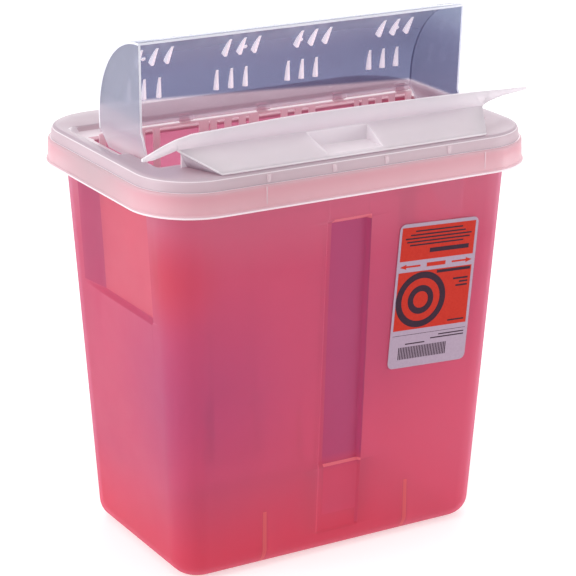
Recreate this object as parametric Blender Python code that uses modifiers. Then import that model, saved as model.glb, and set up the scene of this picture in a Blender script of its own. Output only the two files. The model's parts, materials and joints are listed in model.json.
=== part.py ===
"""Sharps container: a drafted tub, a pressed-on lid with a drop opening, and a hinged flap.

Metres, +Z up.  The origin is the centre of the tub's base on the surface it stands on.
X runs along the long side, and -Y is the front, where the label is.
"""
import math

import bmesh
import bpy
from mathutils import Matrix, Vector

MM = 0.001
GAP = 0.3 * MM  # clearance between two separate pieces that rest on each other
INSET = 0.1 * MM  # keeps a joined block's face just inside the face beside it

# Tub: outer half sizes at the base and at the lid's lower edge
TUB_HALF_X = (106.7 * MM, 120.1 * MM)
TUB_HALF_Y = (64.9 * MM, 78.2 * MM)
TUB_CORNER = (18.0 * MM, 22.0 * MM)
TUB_DRAFT_HEIGHT = 239.0 * MM
TUB_WALL = 2.0 * MM
TUB_BASE_ROUND = 12.0 * MM
TUB_RIM_Z = 249.4 * MM
RIM_REACH = 7.2 * MM
RIM_CORNER = 34.0 * MM
RIM_LIP_Z = 245.2 * MM

# Relief moulded into the tub's walls
CHANNEL_HALF = 13.5 * MM
CHANNEL_SLOPE = 2.0 * MM
CHANNEL_DEEP = 3.5 * MM
CHANNEL_SHALLOW = 1.2 * MM
CHANNEL_Z = (14.0 * MM, 16.0 * MM, 58.0 * MM, 62.0 * MM, 218.5 * MM, 221.5 * MM)
LUG_X = 51.0 * MM
LUG_HALF = 7.0 * MM
LUG_HEIGHT = 1.4 * MM
LUG_Z = (3.5 * MM, 12.0 * MM, 38.0 * MM)
GRIP_Y = (-46.5 * MM, -43.5 * MM, 22.5 * MM, 46.5 * MM)
GRIP_Z = (163.5 * MM, 166.5 * MM, 238.0 * MM, 241.0 * MM)
GRIP_DEPTH = 3.0 * MM

# Lid
LID_HALF_X = 133.5 * MM
LID_HALF_Y = 92.0 * MM
LID_CORNER = 39.5 * MM
LID_BOTTOM_Z = 239.0 * MM
DECK_Z = 261.5 * MM
LID_WALL = 1.6 * MM
# inward offset from the lid's outline, and height, up the skirt and over the shoulder
LID_PROFILE = (
    (0.0, LID_BOTTOM_Z),
    (0.0, 240.6 * MM),
    (0.8 * MM, 241.4 * MM),
    (1.2 * MM, 252.2 * MM),
    (1.9 * MM, 253.4 * MM),
    (3.0 * MM, 254.0 * MM),
    (3.5 * MM, 259.0 * MM),
    (4.1 * MM, 260.7 * MM),
    (6.0 * MM, DECK_Z),
)

# Well in the deck: the drop opening, with a sunken margin at its ends and along its rear
WELL_HALF_X = 114.2 * MM
WELL_FRONT_Y = -51.5 * MM
WELL_REAR_Y = 33.4 * MM
WELL_CORNER = 2.0 * MM
MARGIN_HALF_X = 122.0 * MM
MARGIN_FRONT_Y = -59.5 * MM
MARGIN_REAR_Y = 55.0 * MM
MARGIN_SLOPE = 1.5 * MM
MARGIN_DEPTH = 3.6 * MM
MARGIN_CORNER = 8.0 * MM
MARGIN_START_Y = (-16.0 * MM, -8.0 * MM)

# Flap: a quarter cylinder between two cheeks, hinged along its lower rear edge
FLAP_WALL = 1.6 * MM
FLAP_RADIUS = 57.0 * MM
FLAP_CENTRE_Y = -26.0 * MM
FLAP_CENTRE_Z = 272.0 * MM
FLAP_HALF_X = 111.4 * MM  # at the deck; the cheeks lean outwards above it
CHEEK_LEAN = 0.021
CHEEK_BOTTOM_Z = 256.5 * MM
CHEEK_FRONT_Y = -24.5 * MM
CHEEK_TOE_Y = -30.0 * MM
CHEEK_TOE_Z = 270.0 * MM
CHEEK_TIP_Z = 263.6 * MM
CHEEK_HEEL = (11.2 * MM, 2.2 * MM)  # heel cut back from the hinge, low and high, to clear the comb
HINGE_RADIUS = 1.8 * MM
HINGE_CLEARANCE = 0.3 * MM
HINGE_Y = FLAP_CENTRE_Y + FLAP_RADIUS - FLAP_WALL / 2
HINGE_Z = 264.6 * MM
ARC_STEPS = 20

# Stiffening fins inside the flap, in line with the bars of the chute's rear comb
GROUP_X = (-83.5 * MM, -23.5 * MM, 27.0 * MM, 87.0 * MM)
RIB_PITCH = 10.2 * MM
FIN_ROWS = ((8.5, 23.0), (37.0, 53.0))  # degrees up the quarter circle
FIN_DEPTH = 4.0 * MM
FIN_TIP = 0.5 * MM
FIN_ROOT = 0.5 * MM  # into the sheet
FIN_THICKNESS = 1.8 * MM

# Chute hung under the well: a rear comb and two end panels
COMB_Z = (218.0 * MM, 262.0 * MM)
COMB_RAIL = (4.0 * MM, 1.4 * MM)  # lower and upper rail heights
COMB_BAR = 4.4 * MM
COMB_POSTS = ((-40.5 * MM, 6.5 * MM), (-5.0 * MM, 6.5 * MM), (70.5 * MM, 3.0 * MM))
COMB_HALF_X = 112.0 * MM
COMB_Y = (29.4 * MM, 31.0 * MM)
WINDOW_CUT = 10.0 * MM  # depth of the window cutters, well through the comb
PANEL_WALL = 1.1 * MM
PANEL_X = 112.6 * MM  # inner face at PANEL_X_AT
PANEL_X_AT = 225.0 * MM
PANEL_LEAN = 0.043
PANEL_FOOT = ((-31.0 * MM, 197.0 * MM), (-27.0 * MM, 193.0 * MM), (-11.0 * MM, 192.0 * MM),
              (-6.5 * MM, 196.0 * MM))  # Y and Z round its lower front
PANEL_REAR_Z = 224.0 * MM
FLANGE_TOP = DECK_Z - MARGIN_DEPTH - LID_WALL - GAP
FLANGE_Z = (FLANGE_TOP - 1.3 * MM, FLANGE_TOP)
FLANGE_REACH = 5.0 * MM
TAB_Z = (225.0 * MM, 251.7 * MM)  # tabs that join the comb's ends to the panels
TAB_OVERLAP = (1.0 * MM, 0.2 * MM)  # into the comb and into the panel
CRADLE_X = (-104.5 * MM, -53.0 * MM, 1.5 * MM, 57.0 * MM, 104.5 * MM)
CRADLE_WIDTH = 7.0 * MM
CRADLE_FRONT = 1.4 * MM  # ahead of the comb
CRADLE_FOOT = 4.0 * MM  # below the comb's top
CRADLE_LIP = 1.2 * MM  # above the hinge axis
MOUTH_DROP = 0.6 * MM  # the open mouth starts this far below the hinge axis
MOUTH_REACH = 5.0 * MM

# Front visor: a ramp rising from the deck's front edge to an upright lip with two wings
VISOR_WALL = 1.4 * MM
VISOR_FOOT_Y = -86.0 * MM
VISOR_FOOT_HALF = 90.6 * MM
CREASE_Y = -60.0 * MM
CREASE_Z = 272.7 * MM
CREASE_HALF = 105.2 * MM
LIP_HALF = 97.0 * MM
LIP_Y = -62.5 * MM
LIP_Z = (281.1 * MM, 282.0 * MM, 283.1 * MM, 283.8 * MM, 283.7 * MM, 283.6 * MM, 283.3 * MM,
         282.9 * MM, 282.4 * MM)  # the lip's free edge, left to right in even steps
WING_STATIONS = ((108.0 * MM, -63.2 * MM), (117.0 * MM, -65.2 * MM), (125.0 * MM, -66.8 * MM),
                 (132.0 * MM, -68.2 * MM))
DROOPED_WING_Z = ((273.4 * MM, 279.4 * MM), (272.0 * MM, 277.6 * MM), (270.9 * MM, 275.1 * MM),
                  (271.2 * MM, 272.9 * MM))  # lower and upper edge at each station, on the left
STRAIGHT_WING_Z = ((275.9 * MM, 282.3 * MM), (278.8 * MM, 282.6 * MM), (280.2 * MM, 282.8 * MM),
                   (281.4 * MM, 282.9 * MM))  # and on the right
FLANK_FOOT = ((90.4 * MM, -85.2 * MM), (92.6 * MM, -79.0 * MM), (95.0 * MM, -72.0 * MM),
              (97.9 * MM, -64.5 * MM), (99.7 * MM, -59.6 * MM))  # half width and Y, front to rear
FLANK_TOP_Y = (-85.0 * MM, -79.0 * MM, -72.0 * MM, -64.0 * MM, -60.2 * MM)
THUMB_HALF = (18.3 * MM, 21.0 * MM)  # half widths of the thumb pocket, front and rear
POCKET_FRONT = 3.0 * MM  # behind the ramp's foot
POCKET_REAR = 0.9 * MM  # ahead of the crease
WEB_INSET = 2.0 * MM  # the rear web stops this far short of the crease's ends
VISOR_RIB_X = (45.0 * MM, 68.0 * MM)
VISOR_RIB = 1.2 * MM
WEB_RISE = 1.0 * MM  # into the lip

# Label
LABEL_SIZE = (57.5 * MM, 94.5 * MM)
LABEL_THICKNESS = 0.3 * MM
LABEL_CORNER = 4.0 * MM
LABEL_X = 62.5 * MM
LABEL_Z = 162.5 * MM
LABEL_TILT = math.radians(-2.8)

CORNER_STEPS = 6
BASE_STEPS = 6
BEAD_SEGMENTS = 20
BORE_SEGMENTS = 24
SIDES = ("front", "right", "rear", "left")


# ---------------------------------------------------------------- scene helpers

def clear_scene():
    for thing in list(bpy.data.objects):
        bpy.data.objects.remove(thing, do_unlink=True)


def new_collection(name):
    collection = bpy.data.collections.new(name)
    bpy.context.scene.collection.children.link(collection)
    return collection


def plastic(name, colour, roughness, transmission=0.0):
    material = bpy.data.materials.new(name)
    material.use_nodes = True
    shader = material.node_tree.nodes["Principled BSDF"]
    shader.inputs["Base Color"].default_value = (*colour, 1.0)
    shader.inputs["Roughness"].default_value = roughness
    shader.inputs["Metallic"].default_value = 0.0
    shader.inputs["Transmission Weight"].default_value = transmission
    return material


def mesh_object(name, mesh, collection, material=None):
    thing = bpy.data.objects.new(name, mesh)
    collection.objects.link(thing)
    if material:
        mesh.materials.append(material)
    return thing


def mesh_from(name, build):
    """A mesh filled in by build(bm)."""
    bm = bmesh.new()
    build(bm)
    mesh = bpy.data.meshes.new(name)
    bm.to_mesh(mesh)
    bm.free()
    return mesh


def solidify(thing, thickness):
    modifier = thing.modifiers.new("wall", "SOLIDIFY")
    modifier.thickness = thickness
    modifier.offset = -1.0
    modifier.use_even_offset = True
    modifier.use_quality_normals = True


def boolean(thing, operation, tool):
    modifier = thing.modifiers.new(operation.lower() + "_" + tool.name, "BOOLEAN")
    modifier.operation = operation
    modifier.solver = "EXACT"
    modifier.object = tool


def hide_tool(thing):
    thing.hide_render = True
    thing.display_type = "WIRE"
    return thing


def shade(thing, degrees=35.0):
    thing.data.shade_smooth()
    thing.data.set_sharp_from_angle(angle=math.radians(degrees))


# ---------------------------------------------------------------- shape helpers

def outline_rectangle(half_x, half_y, radius, steps=4):
    """A rounded rectangle's points, counter-clockwise."""
    points = []
    for quarter, (sx, sy) in enumerate(((1, 1), (-1, 1), (-1, -1), (1, -1))):
        centre = Vector((sx * (half_x - radius), sy * (half_y - radius)))
        for step in range(steps + 1):
            angle = math.radians(90.0 * (quarter + step / steps))
            points.append(centre + radius * Vector((math.cos(angle), math.sin(angle))))
    return points


def plate(name, outline, thickness, collection):
    """A flat plate in its own XY plane, centred on Z = 0."""
    curve = bpy.data.curves.new(name, "CURVE")
    curve.dimensions = "2D"
    curve.fill_mode = "BOTH"
    curve.extrude = thickness / 2
    spline = curve.splines.new("POLY")
    spline.points.add(len(outline) - 1)
    for point, (x, y) in zip(spline.points, outline):
        point.co = (x, y, 0.0, 1.0)
    spline.use_cyclic_u = True
    source = bpy.data.objects.new(name + "_curve", curve)
    collection.objects.link(source)
    bpy.context.view_layer.update()
    evaluated = source.evaluated_get(bpy.context.evaluated_depsgraph_get())
    mesh = bpy.data.meshes.new_from_object(evaluated)
    bpy.data.objects.remove(source, do_unlink=True)
    bm = bmesh.new()
    bm.from_mesh(mesh)
    bmesh.ops.remove_doubles(bm, verts=bm.verts, dist=0.00001)
    bmesh.ops.recalc_face_normals(bm, faces=bm.faces)
    bm.to_mesh(mesh)
    bm.free()
    return mesh_object(name, mesh, collection)


def box(name, low, high, collection):
    size = Vector(high) - Vector(low)
    centre = (Vector(high) + Vector(low)) / 2
    placed = Matrix.Translation(centre) @ Matrix.Diagonal((*size, 1.0))
    mesh = mesh_from(name, lambda bm: bmesh.ops.create_cube(bm, size=1.0, matrix=placed))
    return mesh_object(name, mesh, collection)


def hinge_rod(name, radius, length, segments, collection):
    """A round rod along X on the flap's hinge axis."""
    turn = Matrix.Translation((0.0, HINGE_Y, HINGE_Z)) @ Matrix.Rotation(math.pi / 2, 4, "Y")
    mesh = mesh_from(name, lambda bm: bmesh.ops.create_cone(
        bm, cap_ends=True, segments=segments, radius1=radius, radius2=radius, depth=length, matrix=turn))
    return mesh_object(name, mesh, collection)


def upright_in_x(thing, x, lean=0.0):
    """Stands a plate up in the YZ plane at x: its own X becomes Y and its own Y becomes Z."""
    thing.data.transform(Matrix(((0, 0, 1), (1, 0, 0), (0, 1, 0))).to_4x4())
    thing.location.x = x
    thing.rotation_euler.y = math.atan(lean)


def ring_stations(half_x, half_y, radius, x_stops, y_stops):
    """A rounded rectangle's points with the side each is on, counter-clockwise from front left.

    x_stops and y_stops are the places, from low to high, where the long and the short sides
    get a point besides their ends.
    """
    ends = {"front": half_x - radius, "rear": half_x - radius,
            "right": half_y - radius, "left": half_y - radius}
    found = []
    for index, side in enumerate(SIDES):
        stops = x_stops if side in ("front", "rear") else y_stops
        along = [-ends[side], *stops, ends[side]]
        if side in ("rear", "left"):
            along.reverse()
        for value in along:
            if side in ("front", "rear"):
                y = -half_y if side == "front" else half_y
                found.append((Vector((value, y)), side, value))
            else:
                x = half_x if side == "right" else -half_x
                found.append((Vector((x, value)), side, value))
        sign_x = 1 if side in ("front", "right") else -1
        sign_y = 1 if side in ("right", "rear") else -1
        centre = Vector((sign_x * (half_x - radius), sign_y * (half_y - radius)))
        for step in range(1, CORNER_STEPS):
            angle = math.radians(90.0 * (index - 1 + step / CORNER_STEPS))
            found.append((centre + radius * Vector((math.cos(angle), math.sin(angle))), "corner", 0.0))
    return found


def loft(bm, rings, close_first=False):
    """Joins rings of equal length, each a closed loop of points, into one open surface."""
    loops = [[bm.verts.new(point) for point in ring] for ring in rings]
    count = len(loops[0])
    for low, high in zip(loops, loops[1:]):
        for i in range(count):
            j = (i + 1) % count
            bm.faces.new((low[i], low[j], high[j], high[i]))
    if close_first:
        bm.faces.new(list(reversed(loops[0])))
    return loops


def ramp(value, start, end):
    """0 at start, 1 at end, straight between."""
    return min(1.0, max(0.0, (value - start) / (end - start)))


# ---------------------------------------------------------------- tub

def tub_size(z):
    share = z / TUB_DRAFT_HEIGHT
    return [low + (high - low) * share for low, high in (TUB_HALF_X, TUB_HALF_Y, TUB_CORNER)]


def channel_depth(z):
    foot, pocket, step_low, step_high, top, end = CHANNEL_Z
    shallow = CHANNEL_SHALLOW * ramp(z, foot, pocket)
    deep = (CHANNEL_DEEP - CHANNEL_SHALLOW) * ramp(z, step_low, step_high)
    return (shallow + deep) * (1.0 - ramp(z, top, end))


def lug_height(z):
    foot, widest, top = LUG_Z
    return LUG_HEIGHT * ramp(z, foot, widest) * (1.0 - ramp(z, widest, top))


def grip_depth(y, z):
    front, front_full, rear_full, rear = GRIP_Y
    low, low_full, high_full, high = GRIP_Z
    along = ramp(y, front, front_full) * (1.0 - ramp(y, rear_full, rear))
    up = ramp(z, low, low_full) * (1.0 - ramp(z, high_full, high))
    return GRIP_DEPTH * along * up


def wall_relief(side, along, z):
    """How far the wall is pushed in: the channel, the lugs and the end grips."""
    if side in ("front", "rear"):
        channel = 1.0 - ramp(abs(along), CHANNEL_HALF, CHANNEL_HALF + CHANNEL_SLOPE)
        lug = 1.0 - ramp(abs(abs(along) - LUG_X), 0.0, LUG_HALF)
        return channel * channel_depth(z) - lug * lug_height(z)
    if side in ("left", "right"):
        return grip_depth(along, z)
    return 0.0


def wall_stops():
    """The X of the channel's and the lugs' edges on a long wall, from left to right."""
    channel_stops = (CHANNEL_HALF, CHANNEL_HALF + CHANNEL_SLOPE)
    lug_stops = (LUG_X - LUG_HALF, LUG_X, LUG_X + LUG_HALF)
    right_half = [*channel_stops, *lug_stops]
    return [-x for x in reversed(right_half)] + right_half


def tub_ring(z, inset=0.0):
    half_x, half_y, radius = tub_size(z)
    inward = {"front": Vector((0, 1)), "rear": Vector((0, -1)),
              "left": Vector((1, 0)), "right": Vector((-1, 0)), "corner": Vector((0, 0))}
    points = []
    for point, side, along in ring_stations(half_x - inset, half_y - inset, radius - inset,
                                            wall_stops(), GRIP_Y):
        moved = point + inward[side] * wall_relief(side, along, z)
        points.append(Vector((moved.x, moved.y, z)))
    return points


def rim_ring(z):
    half_x, half_y, _ = tub_size(TUB_RIM_Z)
    stations = ring_stations(half_x + RIM_REACH, half_y + RIM_REACH, RIM_CORNER, wall_stops(), GRIP_Y)
    return [Vector((point.x, point.y, z)) for point, _, _ in stations]


def make_tub(parts, material):
    rings = []
    for step in range(BASE_STEPS):
        angle = math.radians(90.0 * step / BASE_STEPS)
        rings.append(tub_ring(TUB_BASE_ROUND * (1 - math.cos(angle)),
                              TUB_BASE_ROUND * (1 - math.sin(angle))))
    levels = [TUB_BASE_ROUND, *CHANNEL_Z[:2], LUG_Z[2], *CHANNEL_Z[2:4], *GRIP_Z[:2],
              *CHANNEL_Z[4:], *GRIP_Z[2:], TUB_RIM_Z]
    rings += [tub_ring(z) for z in levels]
    rings.append(rim_ring(TUB_RIM_Z))
    rings.append(rim_ring(RIM_LIP_Z))
    mesh = mesh_from("container_body", lambda bm: loft(bm, rings, close_first=True))
    tub = mesh_object("container_body", mesh, parts, material)
    solidify(tub, TUB_WALL)
    shade(tub)
    return tub


# ---------------------------------------------------------------- lid

def margin_drop(y):
    return MARGIN_DEPTH * ramp(y, *MARGIN_START_Y)


def lid_ring(inset, z):
    stations = ring_stations(LID_HALF_X - inset, LID_HALF_Y - inset, LID_CORNER - inset,
                             (), MARGIN_START_Y)
    return [Vector((point.x, point.y, z)) for point, _, _ in stations]


def well_ring(half_x, front_y, rear_y, radius, sunken):
    """A ring around the well, on the deck or, where the margin is sunken, below it."""
    middle = (front_y + rear_y) / 2
    stops = [y - middle for y in MARGIN_START_Y]
    points = []
    for point, _, _ in ring_stations(half_x, (rear_y - front_y) / 2, radius, (), stops):
        y = point.y + middle
        points.append(Vector((point.x, y, DECK_Z - (margin_drop(y) if sunken else 0.0))))
    return points


def make_lid(parts, material):
    rings = [lid_ring(inset, z) for inset, z in LID_PROFILE]
    rings.append(well_ring(MARGIN_HALF_X, MARGIN_FRONT_Y, MARGIN_REAR_Y, MARGIN_CORNER, False))
    rings.append(well_ring(MARGIN_HALF_X - MARGIN_SLOPE, MARGIN_FRONT_Y + MARGIN_SLOPE / 3,
                           MARGIN_REAR_Y - MARGIN_SLOPE, MARGIN_CORNER, True))
    rings.append(well_ring(WELL_HALF_X, WELL_FRONT_Y, WELL_REAR_Y, WELL_CORNER, True))
    mesh = mesh_from("lid_base", lambda bm: loft(bm, rings))
    lid = mesh_object("lid_base", mesh, parts, material)
    solidify(lid, LID_WALL)
    shade(lid)
    return lid


# ---------------------------------------------------------------- chute

def rib_places():
    """The X of every fin and bar: three to a group."""
    return [centre + offset * RIB_PITCH for centre in GROUP_X for offset in (-1, 0, 1)]


def comb_windows(tools):
    """One cutter of separate blocks, a window between each two neighbouring bars."""
    bars = [(x, COMB_BAR) for x in rib_places()] + list(COMB_POSTS)
    bars.sort()
    edges = [(x - width / 2, x + width / 2) for x, width in bars]
    edges.append((COMB_HALF_X - COMB_BAR, None))
    low = COMB_Z[0] + COMB_RAIL[0]
    high = COMB_Z[1] - COMB_RAIL[1]

    def build(bm):
        left = -COMB_HALF_X + COMB_BAR
        for start, end in edges:
            size = (start - left, WINDOW_CUT, high - low)
            centre = ((start + left) / 2, sum(COMB_Y) / 2, (high + low) / 2)
            placed = Matrix.Translation(centre) @ Matrix.Diagonal((*size, 1.0))
            bmesh.ops.create_cube(bm, size=1.0, matrix=placed)
            left = end

    return hide_tool(mesh_object("comb_windows", mesh_from("comb_windows", build), tools))


def hinge_cradles(tools):
    """Blocks on the comb's top rail, hollowed for the flap's hinge bead and open to its front."""
    bore = hide_tool(hinge_rod("hinge_bore", HINGE_RADIUS + HINGE_CLEARANCE, 3 * WELL_HALF_X,
                               BORE_SEGMENTS, tools))
    blocks = []
    for index, x in enumerate(CRADLE_X):
        low = (x - CRADLE_WIDTH / 2, COMB_Y[0] - CRADLE_FRONT, COMB_Z[1] - CRADLE_FOOT)
        high = (x + CRADLE_WIDTH / 2, WELL_REAR_Y - GAP, HINGE_Z + CRADLE_LIP)
        block = box(f"cradle_{index + 1}", low, high, tools)
        mouth_low = (x - CRADLE_WIDTH, COMB_Y[0] - MOUTH_REACH, HINGE_Z - MOUTH_DROP)
        mouth_high = (x + CRADLE_WIDTH, HINGE_Y, HINGE_Z + MOUTH_REACH)
        mouth = hide_tool(box(f"cradle_mouth_{index + 1}", mouth_low, mouth_high, tools))
        boolean(block, "DIFFERENCE", bore)
        boolean(block, "DIFFERENCE", mouth)
        blocks.append(block)
    return blocks


def panel_outline():
    """An end panel in Y and Z: upright in front, cut back to a narrow foot at the rear."""
    front_y, rear_y = PANEL_FOOT[0][0], COMB_Y[1]
    corners = [*PANEL_FOOT, (rear_y, PANEL_REAR_Z), (rear_y, FLANGE_Z[1]), (front_y, FLANGE_Z[1])]
    return [Vector(corner) for corner in corners]


def make_chute(parts, tools, material):
    chute = box("drop_chute", (-COMB_HALF_X, COMB_Y[0], COMB_Z[0]),
                (COMB_HALF_X, COMB_Y[1], COMB_Z[1]), parts)
    chute.data.materials.append(material)
    boolean(chute, "DIFFERENCE", comb_windows(tools))
    joined = hinge_cradles(tools)
    rear_low = (-COMB_HALF_X, sum(COMB_Y) / 2, FLANGE_Z[0])
    rear_high = (COMB_HALF_X, COMB_Y[1] + FLANGE_REACH, FLANGE_Z[1])
    joined.append(box("rear_flange", rear_low, rear_high, tools))
    for side in (-1, 1):
        word = "left" if side < 0 else "right"
        panel = plate(f"panel_{word}", panel_outline(), PANEL_WALL, tools)
        at_base = PANEL_X - PANEL_LEAN * PANEL_X_AT + PANEL_WALL / 2
        upright_in_x(panel, side * at_base, side * PANEL_LEAN)
        joined.append(panel)
        inner = PANEL_X + PANEL_LEAN * (FLANGE_Z[0] - PANEL_X_AT)
        ends = sorted((side * (inner + PANEL_WALL / 4), side * (inner + FLANGE_REACH)))
        flange = box(f"flange_{word}", (ends[0], PANEL_FOOT[0][0], FLANGE_Z[0]),
                     (ends[1], COMB_Y[1] + FLANGE_REACH, FLANGE_Z[1]), tools)
        joined.append(flange)
        into_comb, into_panel = TAB_OVERLAP
        ends = sorted((side * (COMB_HALF_X - into_comb), side * (PANEL_X + into_panel)))
        tab = box(f"tab_{word}", (ends[0], COMB_Y[0], TAB_Z[0]),
                  (ends[1], COMB_Y[1] - INSET, TAB_Z[1]), tools)
        joined.append(tab)
    for tool in joined:
        boolean(chute, "UNION", hide_tool(tool))
    shade(chute)
    return chute


# ---------------------------------------------------------------- flap

def flap_arc(radius, low_degrees=0.0, high_degrees=90.0, steps=ARC_STEPS):
    """Points in Y and Z up the quarter circle, from the rear to the top."""
    points = []
    for step in range(steps + 1):
        angle = math.radians(low_degrees + (high_degrees - low_degrees) * step / steps)
        points.append(Vector((FLAP_CENTRE_Y + radius * math.cos(angle),
                              FLAP_CENTRE_Z + radius * math.sin(angle))))
    return points


def flap_half(z):
    return FLAP_HALF_X + CHEEK_LEAN * (z - DECK_Z)


def build_flap_sheet(bm):
    rear_y = FLAP_CENTRE_Y + FLAP_RADIUS
    section = [Vector((rear_y, HINGE_Z)), *flap_arc(FLAP_RADIUS)]
    left = [bm.verts.new((-flap_half(z), y, z)) for y, z in section]
    right = [bm.verts.new((flap_half(z), y, z)) for y, z in section]
    for i in range(len(section) - 1):
        bm.faces.new((right[i], left[i], left[i + 1], right[i + 1]))


def cheek_outline():
    rear_y = FLAP_CENTRE_Y + FLAP_RADIUS - INSET
    arc = flap_arc(FLAP_RADIUS - INSET)
    heel_low, heel_high = (HINGE_Y - back for back in CHEEK_HEEL)
    return [Vector((CHEEK_TOE_Y, CHEEK_BOTTOM_Z)), Vector((heel_low, CHEEK_BOTTOM_Z)),
            Vector((heel_high, HINGE_Z)), Vector((rear_y, HINGE_Z)), *arc,
            Vector((CHEEK_FRONT_Y, CHEEK_TOE_Z)), Vector((CHEEK_TOE_Y, CHEEK_TIP_Z))]


def fin_outline(low_degrees, high_degrees):
    """A slim triangle on the sheet's inner face: deep at its foot, nothing at its top."""
    inner = FLAP_RADIUS - FLAP_WALL
    base = flap_arc(inner + FIN_ROOT, low_degrees, high_degrees, 3)
    foot = flap_arc(inner - FIN_DEPTH, low_degrees)[0]
    tip = flap_arc(inner - FIN_TIP, high_degrees)[0]
    return [*base, tip, foot]


def make_flap(parts, tools, material):
    pivot = bpy.data.objects.new("flap_hinge_axis", None)
    parts.objects.link(pivot)
    pivot.location = (0.0, HINGE_Y, HINGE_Z)
    bpy.context.view_layer.update()
    flap = mesh_object("flap", mesh_from("flap", build_flap_sheet), parts, material)
    flap.data.transform(Matrix.Translation(-pivot.location))
    flap.parent = pivot
    solidify(flap, FLAP_WALL)
    joined = []
    for side in (-1, 1):
        word = "left" if side < 0 else "right"
        cheek = plate(f"cheek_{word}", cheek_outline(), FLAP_WALL, tools)
        at_base = flap_half(0.0) - FLAP_WALL / 2
        upright_in_x(cheek, side * at_base, side * CHEEK_LEAN)
        joined.append(cheek)
    bead_length = 2 * (flap_half(HINGE_Z) - INSET)
    joined.append(hinge_rod("hinge_bead", HINGE_RADIUS, bead_length, BEAD_SEGMENTS, tools))
    for row, (low, high) in enumerate(FIN_ROWS):
        for column, x in enumerate(rib_places()):
            fin = plate(f"fin_{row + 1}_{column + 1}", fin_outline(low, high), FIN_THICKNESS, tools)
            upright_in_x(fin, x)
            joined.append(fin)
    for tool in joined:
        boolean(flap, "UNION", hide_tool(tool))
    shade(flap)
    return flap


# ---------------------------------------------------------------- visor

def build_visor_sheet(bm):
    """The ramp, the lip and its two wings as one open surface, facing the front and up."""
    foot_z = DECK_Z + GAP + VISOR_WALL
    steps = (len(LIP_Z) - 1) // 2
    shares = [step / steps for step in range(-steps, steps + 1)]
    foot = [Vector((s * VISOR_FOOT_HALF, VISOR_FOOT_Y, foot_z)) for s in shares]
    crease = [Vector((s * CREASE_HALF, CREASE_Y, CREASE_Z)) for s in shares]
    top = [Vector((s * LIP_HALF, LIP_Y, z)) for s, z in zip(shares, LIP_Z)]
    rows = [[bm.verts.new(point) for point in row] for row in (foot, crease, top)]
    for low, high in zip(rows, rows[1:]):
        for i in range(len(shares) - 1):
            bm.faces.new((low[i], low[i + 1], high[i + 1], high[i]))
    for side, column, heights in ((-1, 0, DROOPED_WING_Z), (1, -1, STRAIGHT_WING_Z)):
        near = (rows[1][column], rows[2][column])
        for (x, y), pair in zip(WING_STATIONS, heights):
            far = tuple(bm.verts.new((side * x, y, z)) for z in pair)
            corners = [near[0], far[0], far[1], near[1]]
            bm.faces.new(corners if side > 0 else list(reversed(corners)))
            near = far


def ramp_at(y):
    """Half width and height of the ramp's side edge at y."""
    share = (y - VISOR_FOOT_Y) / (CREASE_Y - VISOR_FOOT_Y)
    foot_z = DECK_Z + GAP + VISOR_WALL
    return (VISOR_FOOT_HALF + (CREASE_HALF - VISOR_FOOT_HALF) * share,
            foot_z + (CREASE_Z - foot_z) * share)


def flank(side, tools):
    """A wall from the deck up to the ramp's side edge, which it meets inside the ramp's wall."""
    def build(bm):
        pairs = []
        for (foot_x, foot_y), top_y in zip(FLANK_FOOT, FLANK_TOP_Y):
            top_x, top_z = ramp_at(top_y)
            foot = bm.verts.new((side * foot_x, foot_y, DECK_Z + GAP))
            top = bm.verts.new((side * (top_x - GAP), top_y, top_z - VISOR_WALL / 2))
            pairs.append((foot, top))
        for (foot, top), (next_foot, next_top) in zip(pairs, pairs[1:]):
            corners = [foot, next_foot, next_top, top]
            bm.faces.new(corners if side > 0 else list(reversed(corners)))

    name = "flank_left" if side < 0 else "flank_right"
    wall = mesh_object(name, mesh_from(name, build), tools)
    solidify(wall, VISOR_WALL)
    return wall


def rib_outline():
    """A support rib under the ramp, in Y and Z."""
    foot_z = DECK_Z + GAP
    slope = (CREASE_Z - foot_z - VISOR_WALL) / (CREASE_Y - VISOR_FOOT_Y)
    front = VISOR_FOOT_Y + POCKET_FRONT
    rear = CREASE_Y + VISOR_WALL / 2
    under = VISOR_WALL / 2
    return [Vector((front, foot_z)), Vector((rear, foot_z)), Vector((rear, CREASE_Z - under)),
            Vector((front, foot_z + VISOR_WALL + slope * (front - VISOR_FOOT_Y) - under))]


def thumb_pocket(tools):
    """The cutter for the pocket in the ramp, and the floor and walls that line it."""
    front, rear = THUMB_HALF
    front_y = VISOR_FOOT_Y + POCKET_FRONT
    rear_y = CREASE_Y - POCKET_REAR
    floor_z = DECK_Z + GAP
    depth = CREASE_Z + 2 * INSET - floor_z
    shape = [Vector((-front, front_y)), Vector((front, front_y)),
             Vector((rear, rear_y)), Vector((-rear, rear_y))]
    cutter = plate("thumb_cutter", shape, depth, tools)
    cutter.location.z = floor_z + depth / 2
    wide = VISOR_WALL
    floor_shape = [Vector((-front - wide, front_y - wide)), Vector((front + wide, front_y - wide)),
                   Vector((rear + wide, CREASE_Y + wide / 2)), Vector((-rear - wide, CREASE_Y + wide / 2))]
    floor = plate("thumb_floor", floor_shape, VISOR_WALL, tools)
    floor.location.z = floor_z + VISOR_WALL / 2
    walls = []
    for side in (-1, 1):
        wall = plate(f"thumb_wall_{side + 2}", rib_outline(), VISOR_WALL, tools)
        upright_in_x(wall, 0.0)
        lean = math.atan((rear - front) / (rear_y - front_y))
        wall.data.transform(Matrix.Translation((0.0, -front_y, 0.0)))
        wall.location = (side * (front + wide / 2), front_y, 0.0)
        wall.rotation_euler.z = -side * lean
        walls.append(wall)
    return cutter, [floor, *walls]


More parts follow.
